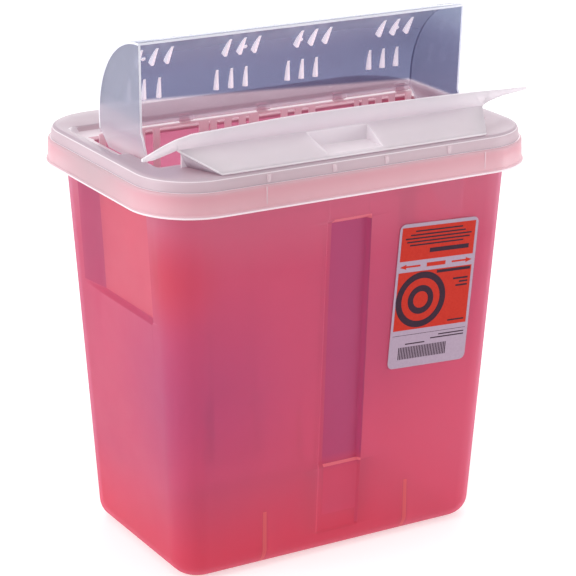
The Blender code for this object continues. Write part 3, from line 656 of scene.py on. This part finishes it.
# Painted highlight: the fins and nubs are painted near white with a strong painted glow.
FIN = clear("_fins", ((0.90, 0.89, 0.93), (0.94, 0.93, 0.97)), (GLASSY, 0.06), lit=0.42)

PAPER = printed("label_paper", (0.34, 0.25, 0.33), (0.37, 0.28, 0.36), 0.5)
ORANGE = printed("label_orange_ink", (0.42, 0.012, 0.003), (0.46, 0.018, 0.006), 0.45)
DARK = printed("label_dark_ink", (0.020, 0.003, 0.014), (0.03, 0.006, 0.022), 0.45)


# ---------------- tub

def tub_size(z):
    share = z / DRAFT_HEIGHT
    return [mix(low, high, share) for low, high in (TUB_HALF_X, TUB_HALF_Y, TUB_CORNER)]


def channel_depth(z):
    shallow = CHANNEL_SHALLOW * ease(z, *CHANNEL_FOOT_Z)
    deep = (CHANNEL_DEEP - CHANNEL_SHALLOW) * ease(z, *CHANNEL_STEP_Z)
    return (shallow + deep) * (1.0 - ease(z, *CHANNEL_TOP_Z))


def lug_height(z):
    foot, widest, top = LUG_Z
    return LUG_HEIGHT * ramp(z, foot, widest) * (1.0 - ramp(z, widest, top))


def grip_depth(y, z):
    along = ease(y, *GRIP_FRONT_Y) * (1.0 - ramp(y, *GRIP_REAR_Y))
    up = ease(z, *GRIP_LOW_Z) * (1.0 - ease(z, *GRIP_HIGH_Z))
    return GRIP_DEPTH * along * up


def wall_relief(side, along, z):
    """How far the wall is pushed in: the channel, the lugs and the end grips."""
    if side in ("front", "rear"):
        channel = 1.0 - ease(abs(along), *CHANNEL_EDGE)
        lug = 1.0 - ramp(abs(abs(along) - LUG_X), 0.0, LUG_HALF)
        return channel * channel_depth(z) - lug * lug_height(z)
    if side in ("left", "right"):
        return grip_depth(along, z)
    return 0.0


def tub_stops():
    """Places along the walls where the tub's rings have points."""
    right = [*between(*CHANNEL_EDGE, 4), 30.0 * MM, LUG_X - LUG_HALF, LUG_X - LUG_EDGE, LUG_X,
             LUG_X + LUG_EDGE, LUG_X + LUG_HALF, 76.0 * MM]
    x_stops = [-x for x in reversed(right)] + [SHADED_STRIP_X, 0.0] + right
    y_stops = [*between(*GRIP_FRONT_Y, 4), -20.0 * MM, 0.0, *between(*GRIP_REAR_Y, 4)]
    return x_stops, y_stops


def tub_ring(z, inset=0.0):
    points = []
    size = [value - inset for value in tub_size(z)]
    for place, side, along in ring_stations(*size, *tub_stops()):
        moved = place - Vector(SIDES.get(side, (0, 0))) * wall_relief(side, along, z)
        points.append(Vector((*moved, z)))
    return points


def rim_ring(reach, radius, z):
    half_x, half_y, _ = tub_size(RIM_Z)
    return flat_ring(z, half_x + reach, half_y + reach, radius, *tub_stops())


def shrunk(ring, inset, z):
    """A copy of a ring, drawn in towards the middle and set at height z."""
    half_x = max(point.x for point in ring)
    half_y = max(point.y for point in ring)
    return [Vector((point.x * (1 - inset / half_x), point.y * (1 - inset / half_y), z))
            for point in ring]


def tub_levels():
    """The heights of the wall's rings, close together where its relief changes."""
    return [*between(*CHANNEL_FOOT_Z, 4), 26.0 * MM, LUG_Z[2], 48.0 * MM,
            *between(*CHANNEL_STEP_Z, 5), 95.0 * MM, 130.0 * MM, *between(*GRIP_LOW_Z, 4),
            192.0 * MM, *between(*CHANNEL_TOP_Z, 4), *between(*GRIP_HIGH_Z, 4)]


def build_tub(bm):
    flat = tub_ring(0.0, BASE_ROUND)
    edge, floor = BASE_RECESS_INSET
    rings = [shrunk(flat, floor, BASE_RECESS), shrunk(flat, edge, 0.0)]
    for angle in between(0.0, math.pi / 2, 9):
        rings.append(tub_ring(BASE_ROUND * (1 - math.cos(angle)), BASE_ROUND * (1 - math.sin(angle))))
    rings += [tub_ring(z) for z in tub_levels()]
    rings += [tub_ring(RIM_Z - RIM_NECK), rim_ring(RIM_NECK, RIM_NECK_CORNER, RIM_Z)]
    rings += [rim_ring(RIM_REACH - inward, RIM_CORNER, RIM_Z - down) for inward, down in RIM_EDGE]
    loft(bm, rings, close_first=True)


# Faces in the channel's darker strip, which are painted with shade.
def in_channel(centre, _):
    return (SHADED_STRIP_X < centre.x < CHANNEL_EDGE[1] and abs(centre.y) > TUB_HALF_Y[0]
            and CHANNEL_FOOT_Z[1] < centre.z < CHANNEL_TOP_Z[0])


def on_lit_edge(centre, _):
    """The channel's top end and its step."""
    across = SHADED_STRIP_X < centre.x < CHANNEL_EDGE[1] and abs(centre.y) > TUB_HALF_Y[0]
    step = (mix(*CHANNEL_STEP_Z, 0.1), mix(*CHANNEL_STEP_Z, 0.7))
    return across and (CHANNEL_TOP_Z[0] < centre.z < CHANNEL_TOP_Z[1] + 2.0 * MM
                       or step[0] < centre.z < step[1])


def on_lug_edge(centre, normal):
    """The narrow strip left of each lug's ridge, painted as a highlight."""
    left_of_ridge = min(abs(centre.x + LUG_EDGE / 2 - side * LUG_X) for side in (-1, 1))
    return (abs(normal.y) > 0.5 and left_of_ridge < LUG_EDGE / 2
            and LUG_Z[0] < centre.z < LUG_Z[2])


def grip_part(centre, front_y, rear_y):
    return (abs(centre.x) > TUB_HALF_X[0] and front_y < centre.y < rear_y
            and GRIP_LOW_Z[1] < centre.z < GRIP_HIGH_Z[0])


def in_grip(centre, _):
    return grip_part(centre, GRIP_FRONT_Y[1], GRIP_REAR_Y[0])


def on_shaded_slope(centre, _):
    return grip_part(centre, *GRIP_REAR_Y)


def on_rear(centre, normal):
    """The rear wall, whose upper part shows through the comb's windows."""
    return centre.y > TUB_HALF_Y[0] - TUB_CORNER[0] and normal.y > 0.5


def make_tub():
    looks = [RED, RED_CHANNEL_SHADE, RED_LIT, RED_GRIP, RED_SHADED, RED_REAR, RED_LUG_HIGHLIGHT]
    tub = piece("tub", build_tub, looks, "base", "container_body", 28.0)
    paint(tub, {1: in_channel, 5: on_rear, 2: on_lit_edge, 6: on_lug_edge, 3: in_grip,
                4: on_shaded_slope})
    solidify(tub, TUB_WALL)


# ---------------- lid

def lid_profile():
    """Inward offset and height, from the skirt's rounded bead over the shoulder to the deck."""
    bead = [(inward, LID_LOW.z + up) for inward, up in LID_BEAD]
    step = [(inward, STEP_Z + up) for inward, up in LID_STEP]
    shoulder = [(SHOULDER_INSET + SHOULDER_RADIUS - x, z) for x, z in
                arc((0.0, DECK_Z - SHOULDER_RADIUS), SHOULDER_RADIUS, 0.0, 90.0, 8)]
    return bead + step + shoulder


def margin_drop(y):
    return MARGIN_DEPTH * ease(y, *MARGIN_START_Y)


def lid_ring(inset, z):
    size = [value - inset for value in (LID_HIGH.x, LID_HIGH.y, LID_CORNER)]
    return flat_ring(z, *size, (), between(*MARGIN_START_Y, 6))


def deck_ring(half_x, y_range, corner, share, drop=0.0):
    """A ring in the deck, sunk by a share of the margin's depth and then by drop."""
    middle = sum(y_range) / 2
    half_y = (y_range[1] - y_range[0]) / 2
    stops = [y - middle for y in between(*MARGIN_START_Y, 6)]
    ring = []
    for place, _, _ in ring_stations(half_x, half_y, corner, (), stops):
        y = place.y + middle
        ring.append(Vector((place.x, y, DECK_Z - margin_drop(y) * share - drop)))
    return ring


def margin_ring(inset, front_inset, share):
    y_range = (MARGIN_Y[0] + front_inset, MARGIN_Y[1] - inset)
    return deck_ring(MARGIN_HALF_X - inset, y_range, MARGIN_CORNER, share)


def opening_ring(inset, drop, rear_band=0.0):
    """The edge of the drop opening, or a line round it."""
    y_range = (WELL_Y[0] + inset, WELL_Y[1] + rear_band - inset)
    return deck_ring(WELL_HALF_X - inset, y_range, WELL_CORNER, 1.0, drop)


def build_lid(bm):
    rings = [lid_ring(inset, z) for inset, z in lid_profile()]
    rings += [margin_ring(*stage) for stage in MARGIN_EDGE]
    rings.append(opening_ring(-BAND_LINE, 0.0, EDGE_BAND - BAND_LINE))
    rings += [opening_ring(*stage) for stage in OPENING_ROUND]
    loft(bm, rings)


def on_skirt(centre, _):
    return centre.z < STEP_Z


def on_lid_line(centre, normal):
    """The bead, the step's ledge and the shoulder, painted as highlights."""
    ledge = abs(centre.z - STEP_Z) < 0.1 * MM
    bead = centre.z < LID_LOW.z + 1.5 * MM
    shoulder = centre.z > STEP_Z and 0.5 < normal.z < 0.75
    return ledge or bead or shoulder


def on_upper_wall(centre, normal):
    """The upright wall between the skirt's step and the shoulder."""
    return centre.z > STEP_Z + 0.4 * MM and abs(normal.z) < 0.5


def in_margin(centre, _):
    """The sunken margin at the ends and the rear of the opening, with its slopes."""
    return (abs(centre.x) < MARGIN_HALF_X and MARGIN_START_Y[0] < centre.y < MARGIN_Y[1]
            and centre.z > STEP_Z)


def on_opening_edge(centre, _):
    """The opening's thin rear edge behind the comb, through which the red tub shows."""
    return (abs(centre.x) < WELL_HALF_X and centre.y > COMB_Y[1]
            and centre.y < WELL_Y[1] + EDGE_BAND and centre.z < DECK_Z - 0.5 * MARGIN_DEPTH)


def build_seams(bm):
    """Fine upright moulding lines on the skirt and webs under the deck's front edge."""
    seam = (SEAM_INSET, SEAM_WIDTH, LID_LOW.z + 3.6 * MM, STEP_Z - 1.0 * MM)
    web = (WEB_INSET, WEB_WIDTH, STEP_Z + 1.0 * MM, DECK_Z - 2.0 * MM)
    for places, (inset, width, low_z, high_z) in ((SKIRT_SEAM_X, seam), (WEB_X, web)):
        size = Matrix.Diagonal((width, SEAM_DEPTH, high_z - low_z, 1.0))
        for x in places:
            centre = Vector((x, LID_LOW.y + inset, (low_z + high_z) / 2))
            bmesh.ops.create_cube(bm, size=1.0, matrix=Matrix.Translation(centre) @ size)


def make_lid():
    looks = [NATURAL, NATURAL_HIGHLIGHT, SKIRT, MARGIN, UPPER_WALL, OPENING_EDGE]
    lid = piece("lid", build_lid, looks, "base", "lid_base", 40.0)
    paint(lid, {2: on_skirt, 1: on_lid_line, 3: in_margin, 4: on_upper_wall, 5: on_opening_edge})
    solidify(lid, LID_WALL, 2)
    piece("lid_seams", build_seams, [SKIRT_LINE], "base")


# ---------------- chute

def rib_places():
    """The X of every fin and bar: three to a group."""
    return [centre + offset * RIB_PITCH for centre in GROUP_X for offset in (-1, 0, 1)]


def build_comb(bm):
    """One sheet with a window between each two neighbouring bars."""
    bars = sorted([(x, COMB_BAR) for x in rib_places()] + list(COMB_POSTS))
    columns = [-COMB_HALF_X, -COMB_HALF_X + COMB_BAR]
    for x, width in bars:
        columns += [x - width / 2, x + width / 2]
    columns += [COMB_HALF_X - COMB_BAR, COMB_HALF_X]
    rows = [COMB_BASE_Z, COMB_BASE_Z + COMB_RAIL[0], COMB_TOP_Z - COMB_RAIL[1], COMB_TOP_Z]
    grid = [[bm.verts.new((x, COMB_Y[0], z)) for x in columns] for z in rows]
    sheet(bm, grid[:2])
    for column in range(0, len(columns), 2):
        sheet(bm, [row[column:column + 2] for row in grid[1:3]])
    sheet(bm, grid[2:])


def panel_outline():
    front_y, rear_y = PANEL_FOOT[0][0], COMB_Y[1]
    return [*PANEL_FOOT, (rear_y, PANEL_REAR_Z), (rear_y, PANEL_TOP_Z), (front_y, PANEL_TOP_Z)]


def build_panels(bm):
    for side in (-1, 1):
        at_base = PANEL_X - PANEL_LEAN * PANEL_X_AT + PANEL_WALL / 2
        slab(bm, panel_outline(), PANEL_WALL, across_x(side * at_base, side * PANEL_LEAN), 1)


def build_cradles(bm):
    """Hooks on the comb's top rail that hold the flap's hinge bead."""
    inner = arc((HINGE.y, HINGE.z), CRADLE_RADII[0], *CRADLE_ENDS, 14)
    outer = arc((HINGE.y, HINGE.z), CRADLE_RADII[1], *reversed(CRADLE_ENDS), 14)
    for x in CRADLE_X:
        slab(bm, inner + outer, CRADLE_WIDTH, across_x(x))


def make_chute():
    comb = piece("chute_comb", build_comb, [COMB], "base", "drop_chute")
    solidify(comb, COMB_Y[1] - COMB_Y[0])
    bevel(comb, 0.25 * MM)
    panels = piece("chute_end_panels", build_panels, [PANEL, PANEL_EDGE_HIGHLIGHT], "base")
    bevel(panels, 0.25 * MM)
    cradles = piece("hinge_cradles", build_cradles, [COMB], "base")
    bevel(cradles, 0.2 * MM)


# ---------------- flap

def flap_arc(radius, low_degrees=0.0, high_degrees=90.0, steps=32):
    """Y and Z up the quarter circle, from the rear to the top."""
    return arc(FLAP_CENTRE, radius, low_degrees, high_degrees, steps)


def flap_half(z):
    return FLAP_HALF_X + CHEEK_LEAN * (z - DECK_Z)


def build_flap_sheet(bm):
    rear_y = FLAP_CENTRE.x + FLAP_RADIUS
    section = [(rear_y, SHEET_FOOT_Z), *flap_arc(FLAP_RADIUS)]
    shares = between(-1.0, 1.0, 12)
    strip(bm, [[(share * flap_half(z), y, z) for share in reversed(shares)] for y, z in section])


def cheek_outline():
    inside = FLAP_RADIUS - FLAP_WALL + 0.15 * MM
    rear_y = FLAP_CENTRE.x + inside
    toe_y, toe_z, tip_z = CHEEK_TOE
    heel_low, heel_high = (HINGE.y - back for back in CHEEK_HEEL)
    front = arc((CHEEK_FRONT_Y - CHEEK_ROUND, toe_z + 6.0 * MM), CHEEK_ROUND, 0.0, -50.0, 5)
    return [(toe_y, CHEEK_BOTTOM_Z), (heel_low, CHEEK_BOTTOM_Z), (heel_high, HINGE.z),
            (rear_y, SHEET_FOOT_Z), *flap_arc(inside), *front, (toe_y, tip_z)]


def build_cheeks(bm):
    for side in (-1, 1):
        at_base = flap_half(0.0) - FLAP_WALL / 2
        # The left cheek takes the copy painted as lit, the right one the plain clear plastic with the
        # painted glow on its edges.
        look, edge = (0, 1) if side < 0 else (2, 3)
        slab(bm, cheek_outline(), FLAP_WALL, across_x(side * at_base, side * CHEEK_LEAN), edge, look)


def build_fins(bm):
    inner = FLAP_RADIUS - FLAP_WALL
    for low, high in FIN_ROWS:
        base = flap_arc(inner, low, high, 8)
        foot = flap_arc(inner - FIN_DEPTH, low + FIN_SLANT[0], low + FIN_SLANT[1], 2)
        tip = flap_arc(inner - FIN_TIP, high - FIN_SLANT[2], high, 1)
        for x in rib_places():
            slab(bm, [*base, *reversed(tip), *reversed(foot)], FIN_THICKNESS, across_x(x))


def build_hinge_bead(bm):
    """A round bead, thicker where it turns in the cradles."""
    half = flap_half(HINGE.z) - 0.1 * MM
    reach = CRADLE_WIDTH / 2 + 1.0 * MM
    thin = BEAD_THIN_RADIUS
    profile = [(-half, thin - BEAD_TAPER), (-half + BEAD_TAPER, thin)]
    for x in CRADLE_X:
        profile += [(x - reach - BEAD_TAPER, thin), (x - reach, HINGE_RADIUS),
                    (x + reach, HINGE_RADIUS), (x + reach + BEAD_TAPER, thin)]
    profile += [(half - BEAD_TAPER, thin), (half, thin - BEAD_TAPER)]
    lie = Matrix.Translation((0.0, HINGE.y, HINGE.z)) @ Matrix.Rotation(math.pi / 2, 4, "Y")
    turned(bm, profile, 20, lie)


def build_nubs(bm):
    profile = [(up * NUB_HEIGHT, out * NUB_RADIUS) for up, out in NUB_PROFILE]
    y, z = flap_arc(FLAP_RADIUS - FLAP_WALL, NUB_ANGLE, 90.0, 1)[0]
    turn = Matrix.Rotation(math.radians(90.0 + NUB_ANGLE), 4, "X")
    for x in NUB_X:
        turned(bm, profile, 20, Matrix.Translation((x, y, z)) @ turn)


def make_flap():
    curved = piece("flap_sheet", build_flap_sheet, [CLEAR, CLEAR_EDGE_HIGHLIGHT], "flap",
                   "flap", 50.0)
    solidify(curved, FLAP_WALL, 1)
    bevel(curved, 0.3 * MM, degrees=50.0)
    cheeks = piece("flap_cheeks", build_cheeks, [CHEEK, CLEAR_EDGE_HIGHLIGHT, CLEAR, CLEAR_SEAM_GLOW], "flap")
    bevel(cheeks, 0.3 * MM, degrees=50.0)
    fins = piece("flap_fins", build_fins, [FIN], "flap")
    bevel(fins, 0.3 * MM, degrees=50.0)
    piece("flap_hinge_bead", build_hinge_bead, [BEAD], "flap")
    piece("flap_nubs", build_nubs, [FIN], "flap")


# ---------------- visor

def ramp_point(across, share, half=None):
    """A point on the ramp: share 0 at its foot, 1 at its crease."""
    width = mix(VISOR_FOOT.x, CREASE.x, share) if half is None else half
    return Vector((across * width, mix(VISOR_FOOT.y, CREASE.y, share),
                   mix(VISOR_FOOT.z, CREASE.z, share)))


def lip_height(x):
    """The lip's free edge: nearly level on the right, drooping to the left."""
    place = (x / LIP_HALF + 1.0) / 2.0 * (len(LIP_Z) - 1)
    index = min(int(place), len(LIP_Z) - 2)
    return mix(LIP_Z[index], LIP_Z[index + 1], place - index)


def visor_row(share):
    """One row across the ramp, with columns at the thumb pocket's sides."""
    pocket = mix(*POCKET_HALF, ramp(share, *POCKET_SHARE))
    outer = [ramp_point(across, share) for across in (-1.0, -0.8, -0.6, -0.4)]
    inner = [ramp_point(across, share, pocket) for across in (-1.0, -0.5, 0.0, 0.5, 1.0)]
    mirrored = [Vector((-p.x, p.y, p.z)) for p in reversed(outer)]
    return outer + inner + mirrored


def build_pocket(bm, near, far):
    """The thumb pocket's walls and floor, down from two rows of the ramp's vertices."""
    floor_near, floor_far = ([bm.verts.new((v.co.x, v.co.y, VISOR_FOOT.z)) for v in row]
                             for row in (near, far))
    faces = sheet(bm, [near, floor_near, floor_far, far])
    faces.append(bm.faces.new((near[0], floor_near[0], floor_far[0], far[0])))
    faces.append(bm.faces.new((floor_near[-1], near[-1], far[-1], floor_far[-1])))
    # The pocket is painted with light: it takes the pale, glowing pocket material.
    for face in faces:
        face.material_index = 2


def build_wing(bm, side, near, heights):
    """A pointed wing, out from the lower and upper vertex at the lip's end."""
    for (x, y), pair in zip(WING_STATIONS, heights):
        far = [bm.verts.new((side * x, y, z)) for z in pair]
        corners = [near[0], far[0], far[1], near[1]]
        bm.faces.new(corners if side > 0 else list(reversed(corners)))
        near = far


def build_visor_sheet(bm):
    """Foot, ramp with its thumb pocket, crease, upright lip and the two wings, as one sheet."""
    shares = (0.0, *POCKET_SHARE, 1.0)
    rows = [[bm.verts.new(point) for point in visor_row(share)] for share in shares]
    lip_x = [point.co.x * LIP_HALF / CREASE.x for point in rows[-1]]
    rows.append([bm.verts.new((x, LIP_Y, lip_height(x))) for x in lip_x])
    near, far = rows[1:3]
    left, right = POCKET_COLUMNS
    sheet(bm, rows[:2])
    sheet(bm, [near[:left + 1], far[:left + 1]])
    sheet(bm, [near[right:], far[right:]])
    sheet(bm, rows[2:])
    build_pocket(bm, near[left:right + 1], far[left:right + 1])
    build_wing(bm, -1, (rows[3][0], rows[4][0]), DROOPED_WING_Z)
    build_wing(bm, 1, (rows[3][-1], rows[4][-1]), STRAIGHT_WING_Z)


def build_flanks(bm):
    """The walls that close the ramp's two ends, from the deck up to the ramp's side edges."""
    for side in (-1, 1):
        rows = ([], [])
        for (foot_x, foot_y), top_y in zip(FLANK_FOOT, FLANK_TOP_Y):
            share = (top_y - VISOR_FOOT.y) / (CREASE.y - VISOR_FOOT.y)
            top = ramp_point(side, share) - Vector((side * 0.3 * MM, 0.0, VISOR_WALL / 2))
            rows[0].append((side * foot_x, foot_y, VISOR_LOW.z))
            rows[1].append(top)
        strip(bm, rows if side > 0 else [list(reversed(row)) for row in rows])


def rib_outline():
    """A support rib under the ramp, in Y and Z."""
    under = VISOR_WALL * 0.6
    front_y = VISOR_FOOT.y + VISOR_RIB_FRONT
    share = VISOR_RIB_FRONT / (CREASE.y - VISOR_FOOT.y)
    return [(front_y, VISOR_LOW.z), (CREASE.y, VISOR_LOW.z), (CREASE.y, CREASE.z - under),
            (front_y, mix(VISOR_FOOT.z, CREASE.z, share) - under)]


def build_visor_web(bm):
    half = CREASE.x - 2.0 * MM
    outline = [(-half, VISOR_LOW.z), (half, VISOR_LOW.z), (half, CREASE.z), (-half, CREASE.z)]
    rear = Matrix.Translation((0, CREASE.y + VISOR_WALL / 2, 0))
    slab(bm, outline, VISOR_WALL, rear @ Matrix.Rotation(math.pi / 2, 4, "X"))
    for x in VISOR_RIB_X:
        for side in (-1, 1):
            slab(bm, rib_outline(), VISOR_RIB_WIDTH, across_x(side * x))


def make_visor():
    visor = piece("visor_sheet", build_visor_sheet, [VISOR, NATURAL_HIGHLIGHT, POCKET], "base",
                  "front_visor")
    flanks = piece("visor_flanks", build_flanks, [NATURAL], "base")
    solidify(flanks, VISOR_WALL)
    bevel(visor, 0.6 * MM, 3, 20.0)
    # The visor's cut edges are painted as highlights.
    solidify(visor, VISOR_WALL, 1)
    web = piece("visor_web", build_visor_web, [VISOR], "base")
    bevel(web, 0.2 * MM)


# ---------------- label

def label_place():
    """The matrix that lays the label's own XY plane on the front wall."""
    centre = (LABEL_LOW + LABEL_HIGH) / 2
    draft = math.atan((TUB_HALF_Y[1] - TUB_HALF_Y[0]) / DRAFT_HEIGHT)
    upright = Matrix.Rotation(math.pi / 2 + draft, 4, "X")
    return Matrix.Translation(centre) @ upright @ Matrix.Rotation(LABEL_TILT, 4, "Z")


def on_label(shares):
    """Places on the label, from shares of its width and height measured from its lower left."""
    width, height = LABEL_SIZE
    return [((x - 0.5) * width, (y - 0.5) * height) for x, y in shares]


def print_place(layer, x=0.0, y=0.0):
    """The matrix of a printed layer: each layer of ink lies on the one before."""
    raised = LABEL_THICKNESS / 2 + PRINT * (layer + 0.5)
    return label_place() @ Matrix.Translation((x, y, raised))


def print_areas(bm, areas, layer):
    for left, low, right, high in areas:
        outline = on_label(((left, low), (right, low), (right, high), (left, high)))
        slab(bm, outline, PRINT, print_place(layer))


def print_bars(bm, bars, half_height, layer):
    """Level bars, each given by its left end, its height and its right end."""
    print_areas(bm, [(left, y - half_height, right, y + half_height) for left, y, right in bars],
                layer)


def print_ring(bm, inner, outer):
    """A flat ring round the emblem's centre."""
    place = print_place(1, *EMBLEM)
    section = ((outer, -PRINT / 2), (outer, PRINT / 2), (inner, PRINT / 2), (inner, -PRINT / 2))
    rings = [circle(bm, radius, height, 48, place) for radius, height in section]
    faces = []
    for low, high in zip(rings, rings[1:] + rings[:1]):
        faces += bridge(bm, low, high)
    bmesh.ops.recalc_face_normals(bm, faces=faces)


# The artwork, as shares of the label's width and height: left, low, right, high for an area, and
# left, middle, right for a bar.
ORANGE_AREAS = ((0.03, 0.745, 0.965, 0.975), (0.03, 0.265, 0.965, 0.668))
MIDDLE_BLOCK = (0.38, 0.693, 0.62, 0.720)
DARK_BLOCKS = ((0.40, 0.790, 0.90, 0.820), (0.52, 0.640, 0.95, 0.660), (0.72, 0.290, 0.93, 0.300))
RULE = (0.03, 0.228, 0.965, 0.2305)
LONG_BARS = ((0.20, 0.945, 0.80), (0.14, 0.920, 0.84), (0.08, 0.897, 0.92), (0.10, 0.874, 0.90),
             (0.14, 0.851, 0.82))
SHORT_BARS = ((0.74, 0.585, 0.93), (0.82, 0.560, 0.93), (0.78, 0.535, 0.93))
FINE_BARS = ((0.62, 0.205, 0.95), (0.52, 0.185, 0.95), (0.20, 0.165, 0.45))
STRIPES = 30
STRIPES_LEFT = 0.12
STRIPE_PITCH = 0.62 / STRIPES
STRIPE_Y = (0.06, 0.145)
# The right arrow's outline, from the middle of the label's width and from the arrow's height.
ARROW = ((0.20, -0.006), (0.38, -0.006), (0.38, -0.017), (0.46, 0.0), (0.38, 0.017), (0.38, 0.006),
         (0.20, 0.006))
ARROW_Y = 0.706
EMBLEM = mm(-9.0, -3.0)
EMBLEM_RINGS = (mm(14.0, 18.2), mm(5.4, 9.4))


def build_label(bm):
    width, height = LABEL_SIZE
    slab(bm, rounded_rectangle(width / 2, height / 2, LABEL_CORNER), LABEL_THICKNESS, label_place())


def build_orange_print(bm):
    print_areas(bm, [*ORANGE_AREAS, MIDDLE_BLOCK], 0)
    for side in (-1, 1):
        outline = on_label([(0.5 + side * x, ARROW_Y + y) for x, y in ARROW])
        slab(bm, outline, PRINT, print_place(0))


def build_dark_print(bm):
    print_bars(bm, LONG_BARS, 0.005, 1)
    print_bars(bm, SHORT_BARS, 0.006, 1)
    print_areas(bm, DARK_BLOCKS, 1)
    for inner, outer in EMBLEM_RINGS:
        print_ring(bm, inner, outer)
    print_bars(bm, FINE_BARS, 0.004, 0)
    lefts = [STRIPES_LEFT + STRIPE_PITCH * i for i in range(STRIPES)]
    stripes = [(left, STRIPE_Y[0], left + 0.55 * STRIPE_PITCH, STRIPE_Y[1]) for left in lefts]
    print_areas(bm, [RULE, *stripes], 0)


def make_label():
    paper = piece("label_paper", build_label, [PAPER], "base", "label_sheet")
    bevel(paper, 0.08 * MM, 1)
    piece("label_orange_print", build_orange_print, [ORANGE], "base")
    piece("label_dark_print", build_dark_print, [DARK], "base")


# ---------------- studio

FLOOR_HALF = 6.0
FLOOR_Z = -0.2 * MM
MIDDLE = (0.0, 0.0, 0.16)
# Name, place, target, size in both directions, power.
LIGHTS = (("left_softbox", (-1.5, 0.1, 0.7), MIDDLE, (1.2, 1.2), 19.0),
          ("overhead_softbox", (0.0, 0.0, 1.7), MIDDLE, (1.6, 1.6), 10.0),
          ("rear_softbox", (0.9, 1.3, 0.7), MIDDLE, (1.2, 1.0), 10.0),
          ("right_softbox", (0.75, -0.55, 0.30), (0.12, -0.02, 0.12), (0.5, 0.6), 4.0))
CAMERA_PLACE = Vector((-0.6934, -1.1938, 0.6238))
CAMERA_TARGET = Vector((0.0024, -0.0003, 0.1539))
CAMERA_ROLL = math.radians(0.24)
CAMERA_LENS = 144.67


def build_floor(bm):
    bmesh.ops.create_grid(bm, x_segments=8, y_segments=8, size=FLOOR_HALF)


def make_floor():
    material, tree = start_material("pale_floor")
    tone = spread(tree, noise(tree, object_position(tree), 3.0), 0.0, 1.0)
    surface = node(tree, "ShaderNodeBsdfPrincipled", Roughness=0.9, Specular_IOR_Level=0.1,
                   Base_Color=blend_colour(tree, tone, (0.62, 0.62, 0.62), (0.64, 0.64, 0.64)),
                   Emission_Color=(1.0, 1.0, 1.0), Emission_Strength=0.50)
    show(tree, surface.outputs["BSDF"])
    floor = add_mesh("studio_floor", build_floor, [material])
    floor.location.z = FLOOR_Z


def make_light(name, place, target, size, power):
    light = bpy.data.lights.new(name, "AREA")
    light.shape = "RECTANGLE"
    light.size, light.size_y = size
    light.energy = power
    thing = add_object(name, light)
    thing.location = place
    thing.rotation_euler = (Vector(target) - Vector(place)).to_track_quat("-Z", "Y").to_euler()


def make_studio():
    make_floor()
    for light in LIGHTS:
        make_light(*light)
    world = bpy.data.worlds.new("studio_world")
    world.use_nodes = True
    background = world.node_tree.nodes["Background"]
    background.inputs["Color"].default_value = (1.0, 1.0, 1.0, 1.0)
    background.inputs["Strength"].default_value = 0.58
    bpy.context.scene.world = world


def make_camera():
    data = bpy.data.cameras.new("camera")
    data.sensor_width = 36.0
    data.lens = CAMERA_LENS
    data.clip_start = 0.05
    data.clip_end = 20.0
    camera = add_object("camera", data)
    aim = (CAMERA_TARGET - CAMERA_PLACE).to_track_quat("-Z", "Y").to_matrix().to_4x4()
    roll = Matrix.Rotation(CAMERA_ROLL, 4, "Z")
    camera.matrix_world = Matrix.Translation(CAMERA_PLACE) @ aim @ roll
    bpy.context.scene.camera = camera


def set_look():
    bpy.context.scene.view_settings.view_transform = "Standard"
    bpy.context.scene.cycles.transparent_max_bounces = 24


make_tub()
make_lid()
make_chute()
make_flap()
make_visor()
make_label()
make_studio()
make_camera()
set_look()
